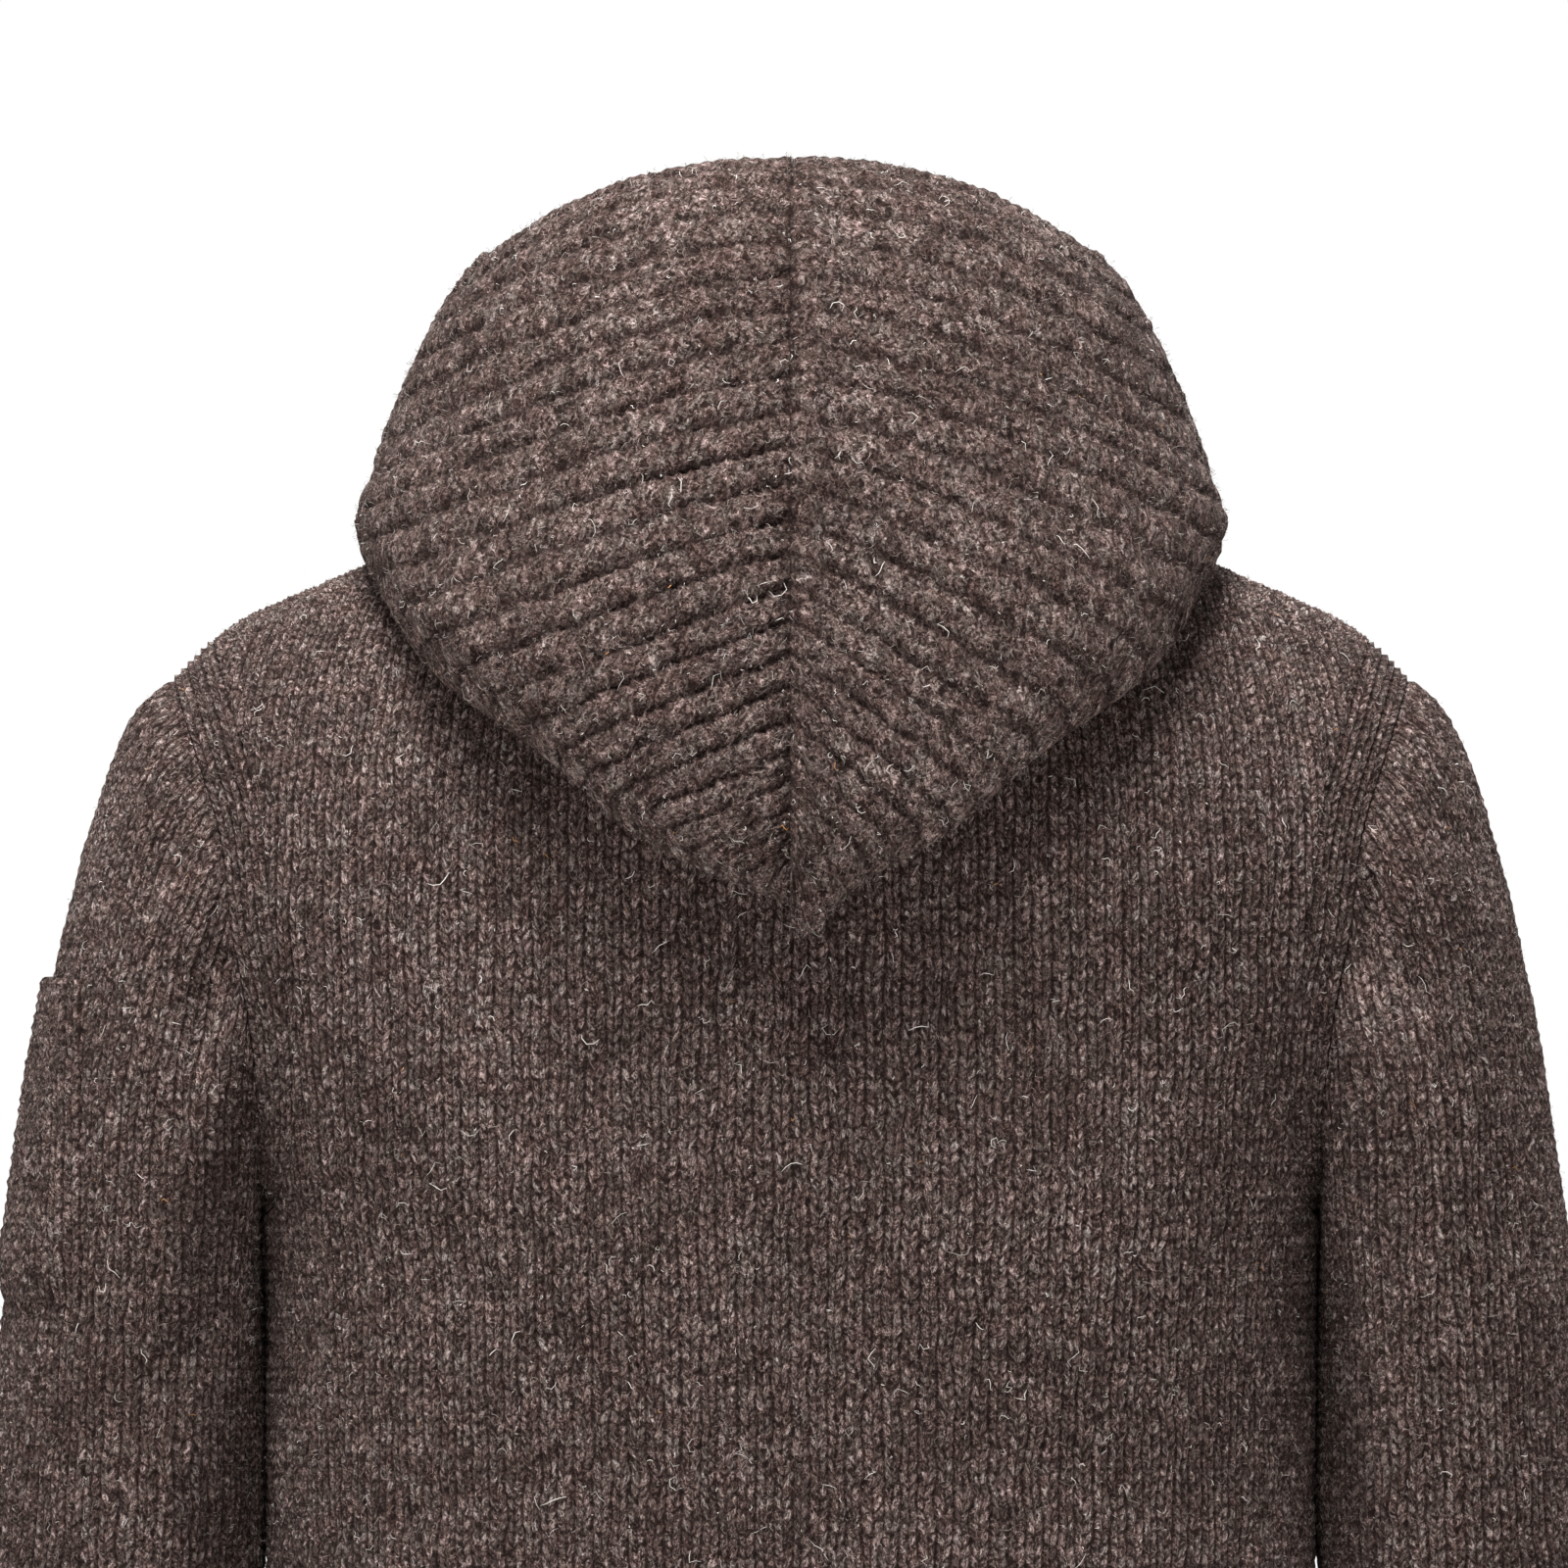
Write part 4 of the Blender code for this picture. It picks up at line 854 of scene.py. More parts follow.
across = np.linspace(0, round(POCKET_WIDTH / WALE), POCKET_GRID[1])[None, :] + np.zeros(POCKET_GRID)
from_side = np.minimum(across, across[:, ::-1]) * WALE
pouch = ease(from_side, 0, POCKET_ROUNDING[0]) * ease(steps_along(points, 0), 0, POCKET_ROUNDING[1])
points = points + normals * (POCKET_LIFT[0] + (POCKET_LIFT[1] - POCKET_LIFT[0]) * pouch)[..., None]
pocket_surface = Surface(points, normals, across, steps_along(points, 0))
pocket_places = knit_places(pocket_surface, strip=0)
knitting = plain_knit(pocket_places, 53)
pocket = knit_wall("sleeve_pocket_knit", pocket_surface, pocket_places, knitting, POCKET_WALL, plain_wool)
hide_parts("sleeve_pocket")
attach(pocket, "root")

# ---------------------------------------------------------------- button bands
# Two ribbed strips, picked up along the fronts' edges and knitted upright. The left one laps over
# the right one and has the buttonholes; the buttons are sewn to the right one and stand through.

BAND_LEFT_EDGES = (-0.0178, 0.0225)
BAND_RIGHT_EDGES = (-0.0175, 0.0172)
BAND_LIFT = 0.0006
BAND_ROWS = 110
BAND_COLUMNS = 13
BAND_MIDDLE = 6


def band_surface(edges, wales, lift):
    turns = np.arange(-85.0, 91.0, 5.0)
    angles = np.concatenate([np.full(BAND_ROWS, -90.0), turns])
    heights = np.linspace(HEM_BOTTOM, UNDERARM_HEIGHT, BAND_ROWS)
    heights = np.concatenate([heights, ARMHOLE_MIDDLE + ARMHOLE_RADIUS * np.sin(np.radians(turns))])
    half_widths = through(TORSO[:, 0], TORSO[:, 1], heights) * seam_share(angles)
    places = np.linspace(*edges, BAND_COLUMNS)
    points = body_points(places[None, :] / half_widths[:, None], heights, angles, -1)
    normals = surface_normals(points, -1)
    points = points + normals * lift
    across = np.repeat(np.linspace(0, wales, BAND_COLUMNS)[None, :], len(heights), axis=0)
    up = np.repeat(steps_along(points, 0)[:, BAND_MIDDLE, None], BAND_COLUMNS, axis=1)
    return Surface(points, normals, across, up)


band_left_surface = band_surface(BAND_LEFT_EDGES, 8, BAND_LIFT + CUFF_WALL)
for name, surface, wall, seed in (
    ("band_left", band_left_surface, 0.0040, 59),
    ("band_right", band_surface(BAND_RIGHT_EDGES, 7, -0.0006), 0.0034, 61),
):
    places = knit_places(surface, strip=0)
    relief = rib_knit(places, seed) * (1.0 if name == "band_left" else 0.4)
    band = knit_wall(name + "_knit", surface, places, relief, wall, rib_wool)
    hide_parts(name)
    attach(band, "root")

# ---------------------------------------------------------------- hood
# Two halves of thick brushed ribbing joined by a seam over the crown. The hood is worn down, so
# each rib leaves the seam, arches round the side, folds under and comes back up to the neckline.

HOOD_WALL = 0.0030
HOOD_COURSE = 0.0048
HOOD_RIBS = 27

# share from the face edge to the back, seam y z, arch, then the turn, the fold and where it rests
HOOD = np.array(
    [
        (0.00, 0.055, 0.140, 2.4, 0.101, 0.000, 0.102, 0.106, -0.062, 0.040, 0.078, -0.098, -0.005),
        (0.07, 0.082, 0.148, 2.4, 0.111, 0.012, 0.112, 0.118, -0.062, 0.020, 0.088, -0.092, -0.010),
        (0.14, 0.107, 0.141, 2.3, 0.122, 0.020, 0.102, 0.128, -0.060, 0.010, 0.093, -0.082, -0.008),
        (0.22, 0.128, 0.118, 1.9, 0.135, 0.026, 0.080, 0.138, -0.050, 0.006, 0.099, -0.068, 0.000),
        (0.32, 0.142, 0.086, 1.5, 0.147, 0.028, 0.046, 0.148, -0.028, 0.007, 0.108, -0.040, 0.014),
        (0.43, 0.152, 0.048, 1.25, 0.158, 0.034, 0.014, 0.155, 0.018, 0.008, 0.118, 0.006, 0.018),
        (0.56, 0.158, 0.003, 1.1, 0.134, 0.104, -0.023, 0.134, 0.0875, -0.0345, 0.106, 0.066, 0.000),
        (0.70, 0.160, -0.043, 1.05, 0.0915, 0.134, -0.060, 0.0915, 0.1235, -0.068, 0.072, 0.101, -0.022),
        (0.85, 0.156, -0.088, 1.0, 0.050, 0.149, -0.0935, 0.050, 0.138, -0.1015, 0.038, 0.120, -0.055),
        (1.00, 0.151, -0.111, 1.0, 0.000, 0.1475, -0.118, 0.000, 0.139, -0.1225, 0.000, 0.122, -0.058),
    ]
)
ARC_STEPS = 6
HOOD_COLUMNS_A_LINE = 4
HOOD_ROWS_A_STEP = 8
LINE_STOPS = (6.5, 7, 7.5, 8, 8.4, 8.8, 9.15, 9.45, 9.75, 10)
HOOD_SLANT = {"left": 0.06, "right": 0.125}
TIP_DROOP = {"left": 0.001, "right": 0.0135}
HOOD_FRONT_EDGE = 0.0245
HOOD_LAP = 0.003
HOOD_NECK_LIFT = 0.002
HOOD_SEAM_EASE = 4.0
HOOD_SEAM_LAP = 0.0004
HOOD_CLEARANCE = 0.0017


def neck_point(share):
    """Where a rib meets the neckline: front edge 0, shoulder seam 0.5, nape 1."""
    first = math.asin(HOOD_FRONT_EDGE / NECK_HALF_WIDTH)
    face = -1 if share < 0.5 else 1
    turn = first + (math.pi / 2 - first) * share / 0.5 if face < 0 else math.pi * (1 - share)
    inward = math.sqrt(1 - min(math.sin(turn), 0.99999) ** 2)
    out = np.array([math.sin(turn), face * math.cos(turn), 0.0])
    y, z = face * NECK_DEPTH[face] * inward, NECK_SIDE_HEIGHT - NECK_DROP[face] * inward**2
    return np.array([NECK_HALF_WIDTH * math.sin(turn), y, z + HOOD_NECK_LIFT]) + out * HOOD_LAP


def hood_line(share, side):
    """One rib's line, from the centre seam round the fold and back up to the neckline."""
    seam_y, seam_z, arch = through(HOOD[:, 0], HOOD[:, 1:4], [share])[0]
    # share^2 (1 - share) is 1 / 6.75 at its highest
    slid = share + HOOD_SLANT[side] * 6.75 * share**2 * (1 - share)
    turn, fold, rest = through(HOOD[:, 0], HOOD[:, 4:], [slid])[0].reshape(3, 3)
    drop = np.array([0.0, 0.0, TIP_DROOP[side] * math.exp(-(((share - 0.93) / 0.08) ** 2))])
    turn, fold = turn - drop, fold - drop
    sweep = np.linspace(0, math.pi / 2, ARC_STEPS + 1)
    arc_y = turn[1] + (seam_y - turn[1]) * np.cos(sweep)
    arc_z = seam_z + (turn[2] - seam_z) * np.sin(sweep) ** arch
    arc = np.stack([turn[0] * np.sin(sweep), arc_y, arc_z], axis=1)
    tight = ease(share, 0.40, 0.56)
    rolled = fold + (fold - turn) * np.array([1.0, 1.0, -1.0])
    under = rolled * tight + (fold + 0.35 * (rest - fold)) * (1 - tight)
    line = np.vstack([arc, fold, under, rest, neck_point(share)])
    along = np.concatenate([[0], np.cumsum(np.linalg.norm(np.diff(line, axis=0), axis=1) + 1e-6)])
    stops = np.concatenate([np.arange(ARC_STEPS + 1), LINE_STOPS])
    return through(along, line, np.interp(stops, np.arange(len(along)), along))


def settled(tree, points):
    """Lift the hood's under layer until it is clear of the body it lies on."""
    rows, columns = points.shape[:2]
    for _ in range(8):
        short, away = np.zeros((rows, columns)), np.zeros_like(points)
        for reach_i, reach_j in ((0, 0), (0, 1), (1, 0), (1, 1)):
            for i, j in np.ndindex(rows - reach_i, columns - reach_j):
                k, m = i + reach_i, j + reach_j
                spot = Vector((points[i, j] + points[k, m]) / 2)
                near, normal, _, _ = tree.find_nearest(spot)
                missing = HOOD_CLEARANCE - (spot - near).dot(normal)
                short[i, j], short[k, m] = max(short[i, j], missing), max(short[k, m], missing)
                if (i, j) == (k, m):
                    away[i, j] = normal
        padded = np.pad(short, ((1, 1), (0, 0)), mode="edge")
        short = np.maximum(short, (padded[:-2] + padded[2:]) / 2)
        away[:, -1] = (0.0, 0.0, 1.0)
        points = points + away * short[..., None]
    return points


def body_skin():
    """The body's outer skin as the hood feels it, a few points to each hand's width."""
    form = bmesh.new()
    for face, flip in ((1, 1.0), (-1, 1.0), (-1, -1.0)):
        opening = None if face > 0 else OPENING_HALF_WIDTH
        skin = body_surface(face, opening, ()).points[::3, ::4] * np.array([flip, 1.0, 1.0])
        up, across = (length - 1 for length in skin.shape[:2])
        made = bmesh.ops.create_grid(form, x_segments=across, y_segments=up, size=0.5)
        for vert, point in zip(made["verts"], skin.reshape(-1, 3)):
            vert.co = point
        if face * flip > 0:
            faces = {face for vert in made["verts"] for face in vert.link_faces}
            bmesh.ops.reverse_faces(form, faces=list(faces))
    tree = BVHTree.FromBMesh(form)
    form.free()
    return tree


def directions(grid, axis):
    grid = np.moveaxis(grid, axis, 0)
    steps = unit(np.diff(grid, axis=0))
    return np.moveaxis(unit(np.concatenate([steps[:1], steps[:-1] + steps[1:], steps[-1:]])), 0, axis)


def hood_surface(side, tree):
    """The left half's surface: rows run out along each rib, columns from the face edge back."""
    count = 2 * HOOD_RIBS + 1
    base = np.array([hood_line(i / (count - 1), side) for i in range(count)])
    base[:, ARC_STEPS:] = settled(tree, base[:, ARC_STEPS:])
    normals = -unit(np.cross(directions(base, 0), directions(base, 1)))
    padded = np.pad(normals, ((1, 1), (1, 1), (0, 0)), mode="edge")
    around = padded[:-2, 1:-1] + padded[2:, 1:-1] + padded[1:-1, :-2] + padded[1:-1, 2:]
    normals = unit(normals * 2 + around)
    normals[..., 0] *= np.clip(base[..., 0] / (HOOD_SEAM_EASE * HOOD_WALL), 0.0, 1.0)
    base[:, 0, 0] = base[-1, :, 0] = -HOOD_SEAM_LAP
    both = np.concatenate([base, unit(normals)], axis=-1)
    for finer in (HOOD_COLUMNS_A_LINE, HOOD_ROWS_A_STEP):
        steps = len(both) - 1
        both = through(np.arange(steps + 1), both, np.linspace(0, steps, finer * steps + 1))
        both = np.swapaxes(both, 0, 1)
    both = np.swapaxes(both, 0, 1)
    points, normals = both[..., :3], unit(both[..., 3:])
    across = np.repeat(np.linspace(0, 2 * HOOD_RIBS, points.shape[1])[None, :], len(points), axis=0)
    return Surface(points, normals, across, steps_along(points, 0))


def hood_rib(places, side, seed):
    """Broad fleecy ribs of two lumpy stitches, broken furrows between them, and the crown seam."""
    from_furrow = abs((places.wale / 2 + 0.5) % 1.0 - 0.5)
    crest = np.round(places.level * 2) % 2 == 1
    out = places.level * HOOD_COURSE
    # the furrows are picked out stitch by stitch, deepest beside the seam, and lost at the tip
    shape = places.wale.shape
    pits = 0.85 + 0.35 * np.cos(2 * math.pi * places.level) + 0.4 * uneven(shape, (2, 1.6), seed + 3)
    broken = np.clip(0.80 + 0.6 * uneven(shape, (1.8, 7), seed), 0.1, 1.3) * np.clip(pits, 0.15, 1.6)
    broken = broken * (1 - 0.75 * ease(places.wale / (2 * HOOD_RIBS), 0.72, 0.88))
    if side == "left":
        broken = broken * (1 + 0.5 * np.exp(-(((out - 0.008) / 0.005) ** 2)))
    else:
        broken = broken * (0.15 + 0.85 * ease(out, 0.008, 0.018)) * 0.85
    relief = 0.0006 - 0.0025 * broken * (1 - ease(from_furrow, 0.0, 0.24))
    relief = relief + np.where(crest, 0.00035, -0.00035) * (1.2 - from_furrow)
    relief = relief + 0.0004 * uneven(shape, (7, 8), seed + 1)
    relief = relief + 0.0007 * uneven(shape, (1.6, 1.8), seed + 2)
    # the right half swells beside the seam and the left half sinks, so the seam reads as a step
    below_crown = ease(places.wale, 4, 12)
    if side == "right":
        relief = relief + 0.0030 * below_crown * np.exp(-(((out - 0.0065) / 0.0045) ** 2))
        relief = relief - 0.0008 * np.exp(-((out / 0.002) ** 2))
    else:
        relief = relief - 0.0034 * below_crown * np.exp(-(((out - 0.001) / 0.003) ** 2))
    # the layer folded under is nearly flat
    steps_out = places.rows / HOOD_ROWS_A_STEP
    relief = relief * (1 - 0.85 * ease(steps_out, ARC_STEPS + 1.2, ARC_STEPS + 2))
    return np.where(places.edge, -SUNK_EDGE, relief)


# the hood's wool paints shade into the furrows between ribs and along the crown seam
hood_wool = wool("brushed_ribbed_wool", tone=0.33, hairs=0.40, gap=0.36, row=0.20, fuzz=0.40, seam=0.6)

tree = body_skin()
hood_places = {}
for side, seed in (("left", 67), ("right", 71)):
    surface = hood_surface(side, tree)
    places = knit_places(surface, course=HOOD_COURSE, strip=0, rise=0.4)
    surface = surface if side == "left" else mirrored(surface)
    hood_places[side] = surface, places
    knitting = hood_rib(places, side, seed)
    hood = knit_wall(f"hood_{side}_knit", surface, places, knitting, HOOD_WALL, hood_wool, repeat=2)
    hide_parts(f"hood_{side}")
    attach(hood, "root")

# ---------------------------------------------------------------- buttons
# Six turned horn buttons with a raised rim and four holes, sewn with wool thread through the
# buttonholes' place on the left band. Horn is a dark translucent brown with paler streaks.

BUTTON_RADIUS = 0.011
BUTTON_THICKNESS = 0.0045
BUTTON_HOLE = 0.0009
HOLE_SPACING = 0.0022
THREAD_RADIUS = 0.00048
LIP_RADIUS = 0.0008
LIP_TURN = 0.0016
LIP_REACH = 0.0110

horn, horn_tree, horn_shader = new_material("polished_dark_horn", {"IOR": KERATIN_IOR, "Roughness": 0.28})
grain_place = add(horn_tree, "TexCoord").node.outputs["Object"]
grain_place = add(horn_tree, "VectorMath", (grain_place, (90.0, 90.0, 420.0)), operation="MULTIPLY")
streaks = add(horn_tree, "TexNoise", {"Vector": grain_place, "Scale": 1.0, "Detail": 4.0, "Distortion": 0.6})
streaks = add(horn_tree, "MapRange", (streaks, 0.45, 0.75))
horn_colour = {0: streaks, 6: linear("#2a1a12"), 7: linear("#6d4a30")}
horn_colour = add(horn_tree, "Mix", horn_colour, data_type="RGBA")
horn_tree.links.new(horn_colour, horn_shader.inputs["Base Color"])
polish = add(horn_tree, "Bump", {"Height": streaks, "Strength": 0.15, "Distance": 0.0002})
horn_tree.links.new(polish, horn_shader.inputs["Normal"])

thread = wool("twisted_wool_thread", tone=0.42)


def turned_button():
    """A button facing +Z round the origin, sewn on, with its buttonhole's overcast edge behind it."""
    form = bmesh.new()
    flat_radius, flat_height = BUTTON_RADIUS * 0.60, BUTTON_THICKNESS * 0.60
    profile = (
        (flat_radius, flat_height),
        (flat_radius * 1.10, flat_height * 1.06),
        (BUTTON_RADIUS * 0.76, BUTTON_THICKNESS * 0.94),
        (BUTTON_RADIUS * 0.84, BUTTON_THICKNESS),
        (BUTTON_RADIUS * 0.93, BUTTON_THICKNESS * 0.93),
        (BUTTON_RADIUS * 0.99, BUTTON_THICKNESS * 0.72),
        (BUTTON_RADIUS, BUTTON_THICKNESS * 0.50),
        (BUTTON_RADIUS * 0.97, BUTTON_THICKNESS * 0.22),
        (BUTTON_RADIUS * 0.88, 0.0),
        (flat_radius, 0.0),
    )
    turned = [form.verts.new((radius, 0.0, height)) for radius, height in profile]
    lines = [form.edges.new(pair) for pair in zip(turned, turned[1:])]
    whole_turn = {"cent": (0, 0, 0), "axis": (0, 0, 1), "angle": math.tau, "use_merge": True}
    bmesh.ops.spin(form, geom=turned + lines, steps=40, **whole_turn)
    holes = [(x * HOLE_SPACING, y * HOLE_SPACING) for x in (-0.5, 0.5) for y in (-0.5, 0.5)]
    for height in (0.0, flat_height):
        for x, y in holes:
            made = bmesh.ops.create_circle(form, radius=BUTTON_HOLE, segments=12)
            bmesh.ops.translate(form, verts=made["verts"], vec=(x, y, height))
        open_edges = [edge for edge in form.edges if len(edge.link_faces) < 2]
        level = [edge for edge in open_edges if all(abs(vert.co.z - height) < 1e-6 for vert in edge.verts)]
        bmesh.ops.triangle_fill(form, edges=level, use_beauty=True)
    for x, y in holes:
        near = {vert for vert in form.verts if math.dist(vert.co.xy, (x, y)) < BUTTON_HOLE * 1.05}
        rims = [edge for edge in form.edges if edge.is_boundary and near.issuperset(edge.verts)]
        bmesh.ops.bridge_loops(form, edges=rims)
    bmesh.ops.recalc_face_normals(form, faces=form.faces)
    # two stitches of thread across the holes
    solid_faces = len(form.faces)
    for y in (-0.5 * HOLE_SPACING, 0.5 * HOLE_SPACING):
        strand = bmesh.ops.create_circle(form, radius=THREAD_RADIUS, segments=8)["verts"]
        bmesh.ops.translate(form, verts=strand, vec=(HOLE_SPACING / 2, y, 0.0))
        ring = strand + list({edge for vert in strand for edge in vert.link_edges})
        bmesh.ops.spin(form, geom=ring, cent=(0, y, 0), axis=(0, 1, 0), angle=-math.pi, steps=8)
    form.faces.ensure_lookup_table()
    threads = form.faces[solid_faces:]
    strands = list({vert for face in threads for vert in face.verts})
    bmesh.ops.translate(form, verts=strands, vec=(0, 0, flat_height - 0.0003))
    for face in threads:
        face.material_index = 1
    bmesh.ops.holes_fill(form, edges=[edge for edge in form.edges if edge.is_boundary], sides=8)
    # a ring of overcast edge, pulled out to the buttonhole's length
    solid_faces = len(form.faces)
    lip = bmesh.ops.create_circle(form, radius=LIP_RADIUS, segments=8)["verts"]
    bmesh.ops.rotate(form, verts=lip, cent=(0, 0, 0), matrix=Matrix.Rotation(math.pi / 2, 3, "X"))
    bmesh.ops.translate(form, verts=lip, vec=(LIP_TURN, 0.0, -LIP_RADIUS / 2))
    ring = lip + list({edge for vert in lip for edge in vert.link_edges})
    bmesh.ops.spin(form, geom=ring, steps=16, **whole_turn)
    form.faces.ensure_lookup_table()
    lips = form.faces[solid_faces:]
    for vert in {v for f in lips for v in f.verts}:
        vert.co.x += math.copysign(LIP_REACH, vert.co.x) if abs(vert.co.x) > 1e-5 else 0.0
    for face in lips:
        face.material_index = 2
    bmesh.ops.recalc_face_normals(form, faces=form.faces)
    return form


band_line = band_left_surface.points[:, BAND_MIDDLE]
for number in range(1, 7):
    low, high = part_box(f"button_{number}")
    middle = (Vector(low) + Vector(high)) / 2
    slope = np.interp([middle.z - 0.01, middle.z + 0.01], band_line[:, 2], band_line[:, 1])
    tilt = math.pi / 2 - math.atan(float(np.diff(slope)[0]) / 0.02)
    set_on = Matrix.Translation(middle) @ Matrix.Rotation(tilt, 4, "X")
    set_on = set_on @ Matrix.Translation((0, 0, -BUTTON_THICKNESS / 2))
    form = turned_button()
    bmesh.ops.transform(form, matrix=set_on, verts=form.verts)
    mesh = meshed(form, f"button_{number}_turned")
    for material in (horn, thread, rib_wool):
        mesh.materials.append(material)
    mesh.shade_smooth()
    button = placed(f"button_{number}_turned", mesh)
    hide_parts(f"button_{number}")
    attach(button, "root")

# ---------------------------------------------------------------- loose hairs
# Undyed wool sheds pale, stiff, curly hairs that lie on the surface or stand a little off it, and
# a halo of short fine fibres. Each is a flat ribbon of four faces, sunk in the knitting at its
# root, and wider than a real hair, which would be too thin to see.

HAIR_STEPS = 4


def hairs(name, pieces, count, lengths, width, lift, curl, material, seed):
    """Joined ribbons scattered evenly over the outer skins of some pieces."""
    rng = np.random.default_rng(seed)
    shares = np.array([(~places.edge).sum() * weight for _, places, weight in pieces], float)
    numbers = np.round(count * shares / shares.sum()).astype(int)
    roots, outs, ways = [], [], []
    for (surface, places, _), number in zip(pieces, numbers):
        free = np.argwhere(~places.edge)
        picked = free[rng.integers(len(free), size=number)]
        rows = places.rows[picked[:, 0], picked[:, 1]] + rng.normal(size=number) * 0.1
        columns = places.columns[picked[:, 0], picked[:, 1]] + rng.normal(size=number) * 0.1
        roots.append(sampled(surface.points, rows, columns))
        outs.append(unit(sampled(surface.normals, rows, columns)))
        beyond, before = (sampled(surface.points, rows + step, columns) for step in (0.5, -0.5))
        ways.append(unit(beyond - before))
    root, out, way = (np.concatenate(part) for part in (roots, outs, ways))
    total = len(root)
    side = unit(np.cross(out, way))
    way = np.cross(side, out)
    length = lengths[0] + (lengths[1] - lengths[0]) * rng.random(total) ** 2.2
    heading = rng.random(total) * math.tau
    bend, wave, turn = rng.normal(size=(3, total)) * np.array([[curl], [curl * 1.2], [2.0]])
    rise = lift * (0.35 + rng.random(total) ** 2)
    step = length / HAIR_STEPS
    line = [root + out * 0.0002]
    tangents = []
    for i in range(HAIR_STEPS):
        share = (i + 0.5) / HAIR_STEPS
        angle = heading + bend * (share - 0.5) * 2 + wave * np.sin(share * math.tau + turn)
        tangent = way * np.cos(angle)[:, None] + side * np.sin(angle)[:, None]
        tangents.append(tangent)
        line.append(line[-1] + tangent * step[:, None])
    line = np.array(line)
    between = [unit(a + b) for a, b in zip(tangents, tangents[1:])]
    tangents = np.array([tangents[0]] + between + [tangents[-1]])
    shares = np.linspace(0, 1, HAIR_STEPS + 1)[:, None]
    line = line + out[None] * (np.sin(shares * math.pi) * rise - 0.0006 * (shares < 0.01))[..., None]
    widths = width * (0.6 + 0.8 * rng.random(total))
    across = unit(np.cross(out[None], tangents)) * widths[None, :, None] / 2
    taper = np.array([0.5, 1.0, 1.0, 0.9, 0.35])[:, None, None]
    grid = np.stack([line - across * taper, line + across * taper], axis=2)
    form = bmesh.new()
    bmesh.ops.create_grid(form, x_segments=2 * total - 1, y_segments=HAIR_STEPS, size=0.5)
    form.faces.index_update()
    between = [face for face in form.faces if face.index % (2 * total - 1) % 2]
    bmesh.ops.delete(form, geom=between, context="FACES")
    mesh = meshed(form, name)
    mesh.vertices.foreach_set("co", grid.ravel())
    mesh.materials.append(material)
    mesh.shade_smooth()
    piece = placed(name, mesh)
    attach(piece, "root")
    return piece


def hair_fibre(name, colour):
    """Single wool hairs: smooth, stiff and a little glossy beside the matt yarn."""
    material, tree, shader = new_material(name, {"Roughness": 0.5, "IOR": KERATIN_IOR})
    place = add(tree, "TexCoord").node.outputs["Object"]
    tone = add(tree, "TexNoise", {"Vector": place, "Scale": 60.0, "Detail": 2.0})
    dark = tuple(part * 0.55 for part in linear(colour)[:3]) + (1.0,)
    shade = add(tree, "Mix", {0: tone, 6: dark, 7: linear(colour)}, data_type="RGBA")
    tree.links.new(shade, shader.inputs["Base Color"])
    return material


body_cloth = [(back_surface, back_places, 1.0)]
body_cloth += [(surface, places, 0.8) for surface, places in front_places.values()]
arm_cloth = [(surface, places, 1.0) for surface, places in sleeve_places.values()]
hood_cloth = [(surface, places, 2.2) for surface, places in hood_places.values()]
pale_hair = hair_fibre("pale_kemp_hair", "#e4ddd6")
tan_hair = hair_fibre("tan_kemp_hair", "#a8743c")
halo_hair = hair_fibre("fine_wool_halo", "#a0948c")
everywhere = body_cloth + arm_cloth + hood_cloth
hairs("pale_hairs", everywhere, 5000, (0.0015, 0.011), 0.00019, 0.0011, 1.6, pale_hair, 83)
hairs("tan_hairs", everywhere, 240, (0.0015, 0.005), 0.00028, 0.0006, 0.9, tan_hair, 89)
hairs("body_halo", body_cloth + arm_cloth, 9000, (0.002, 0.006), 0.00012, 0.0016, 1.6, halo_hair, 97)
hairs("hood_halo", hood_cloth, 7000, (0.002, 0.006), 0.00014, 0.0022, 2.2, halo_hair, 101)

# ---------------------------------------------------------------- studio
# A pale floor under the hem and soft even light: a broad panel above the camera, and white air
# that is dimmer on the camera's side than beyond the garment. A long lens stands level behind the
# wearer, as the photograph was taken.

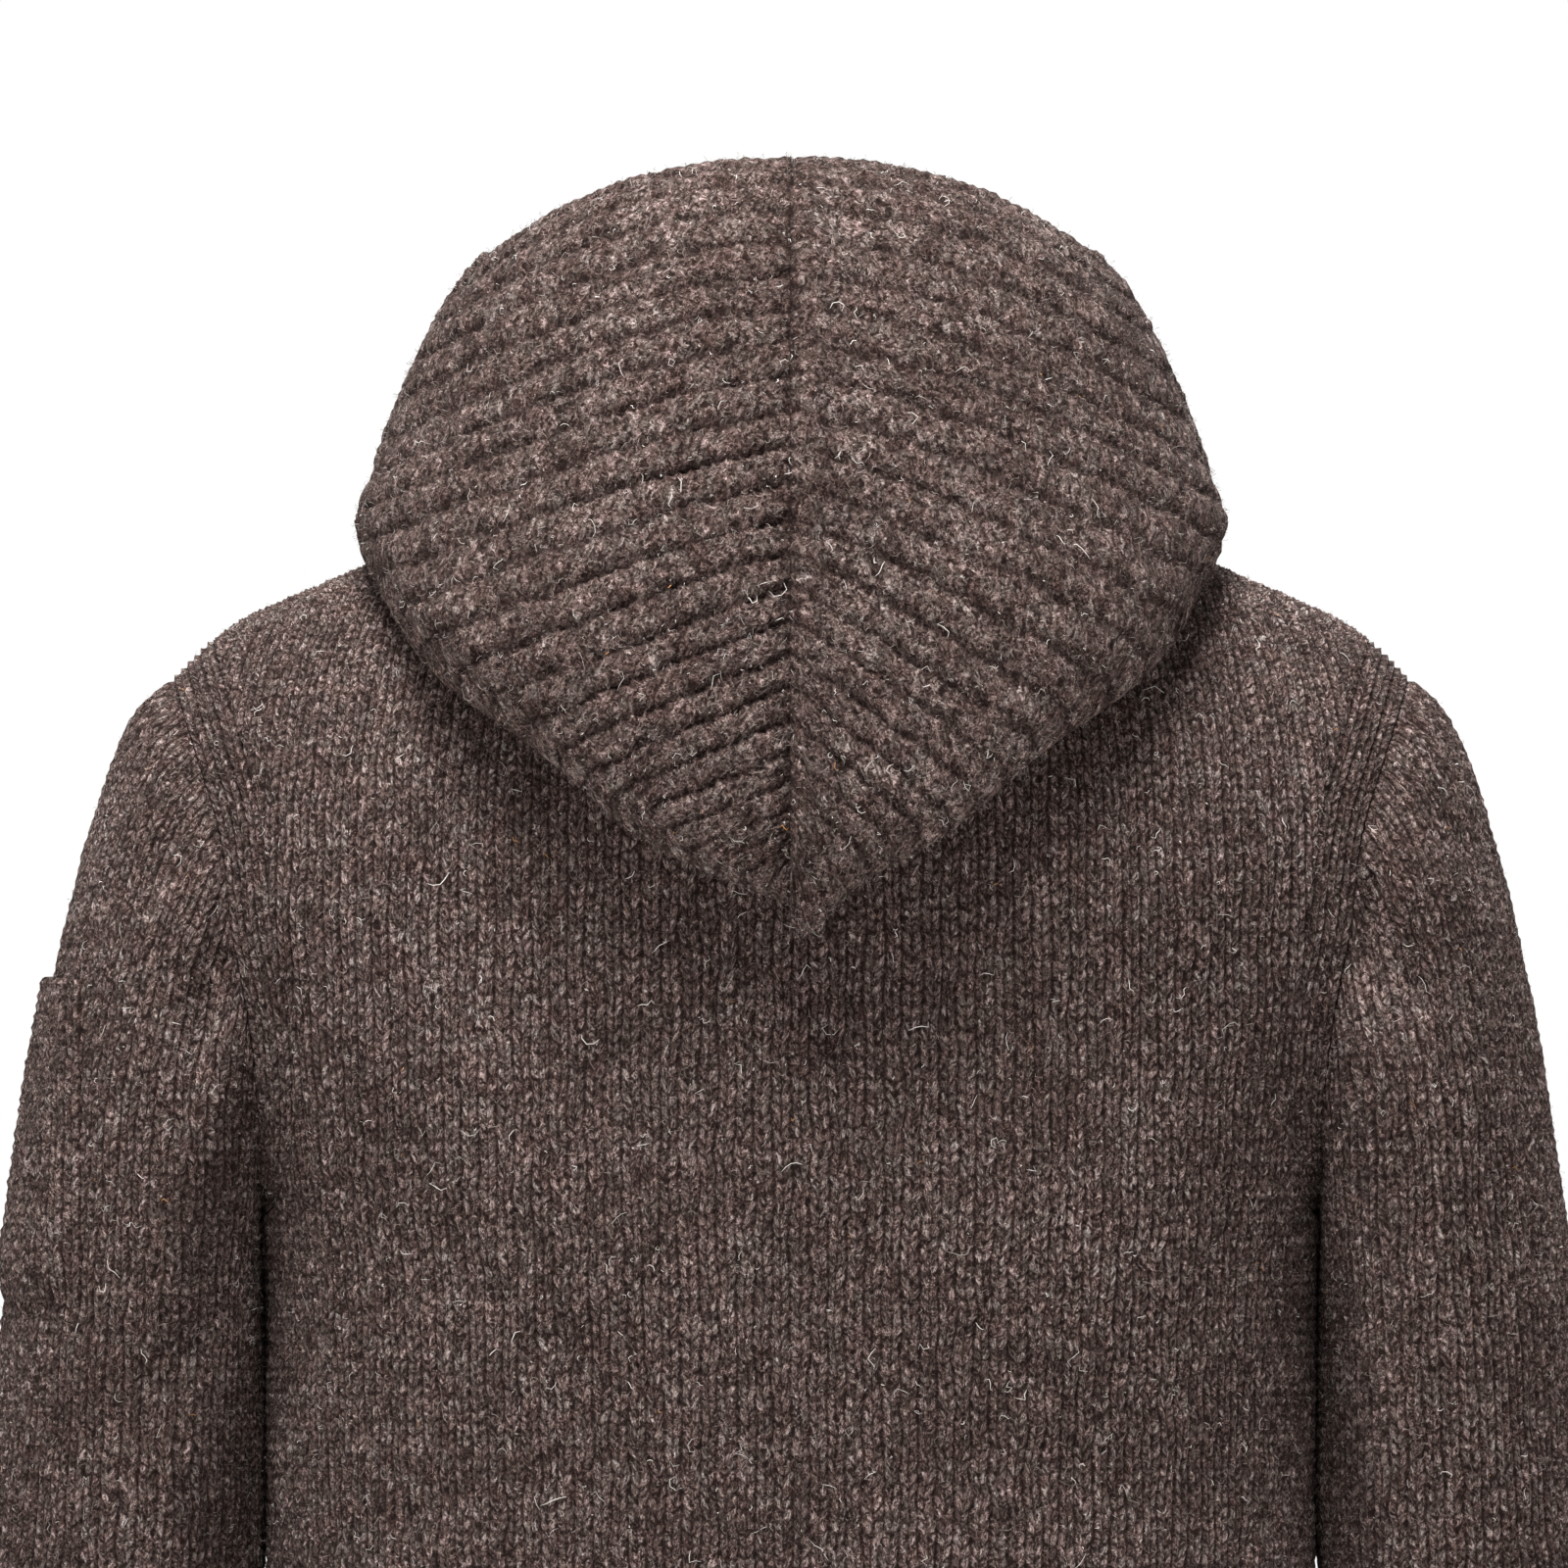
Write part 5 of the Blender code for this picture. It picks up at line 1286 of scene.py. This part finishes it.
FRAME_WIDTH = 0.571
FRAME_PLANE = 0.07
CAMERA_REACH = 9.0
SENSOR_WIDTH = 36.0
sky = bpy.data.worlds.new("white_studio")
bpy.context.scene.world = sky
sky.use_nodes = True
sky.node_tree.nodes["Background"].inputs["Color"].default_value = (1.0, 1.0, 1.0, 1.0)
heading = add(sky.node_tree, "TexCoord").node.outputs["Generated"]
heading = add(sky.node_tree, "SeparateXYZ", (heading,)).node.outputs["Y"]
glow = add(sky.node_tree, "MapRange", (heading, -0.1, 0.9, 1.0, 0.30))
sky.node_tree.links.new(glow, sky.node_tree.nodes["Background"].inputs["Strength"])
bpy.context.scene.view_settings.view_transform = "Standard"

floor_form = bmesh.new()
bmesh.ops.create_circle(floor_form, cap_ends=True, radius=6.0, segments=64)
bmesh.ops.translate(floor_form, vec=(0.0, 0.0, HEM_BOTTOM - 0.012), verts=floor_form.verts)
floor_mesh = meshed(floor_form, "pale_floor")
pale_floor = placed("pale_floor", floor_mesh)
floor_paint, _, _ = new_material("matt_white_paint", {"Base Color": linear("#e9e8e6"), "Roughness": 0.8})
floor_mesh.materials.append(floor_paint)

LAMP_AIM = Vector((0.0, 0.0, -0.15))
for name, place, size, power in (
    ("panel_above_camera", (0.22, 0.95, 2.0), 0.8, 125.0),
    ("panel_left", (1.6, 1.4, 0.3), 1.0, 4.0),
    ("panel_front", (-0.6, -2.2, 1.2), 1.4, 18.0),
):
    lamp = bpy.data.lights.new(name, "AREA")
    lamp.size = size
    lamp.energy = power
    lamp_object = placed(name, lamp)
    lamp_object.location = place
    lamp_object.rotation_euler = (LAMP_AIM - Vector(place)).to_track_quat("-Z", "Y").to_euler()

lens = bpy.data.cameras.new("long_lens")
lens.sensor_width = SENSOR_WIDTH
lens.lens = SENSOR_WIDTH * (CAMERA_REACH - FRAME_PLANE) / FRAME_WIDTH
lens.clip_end = 60.0
camera = placed("long_lens", lens)
camera.location = (0.0025, CAMERA_REACH, -0.0794)
camera.rotation_euler = (math.pi / 2, 0.0, math.pi)
bpy.context.scene.camera = camera
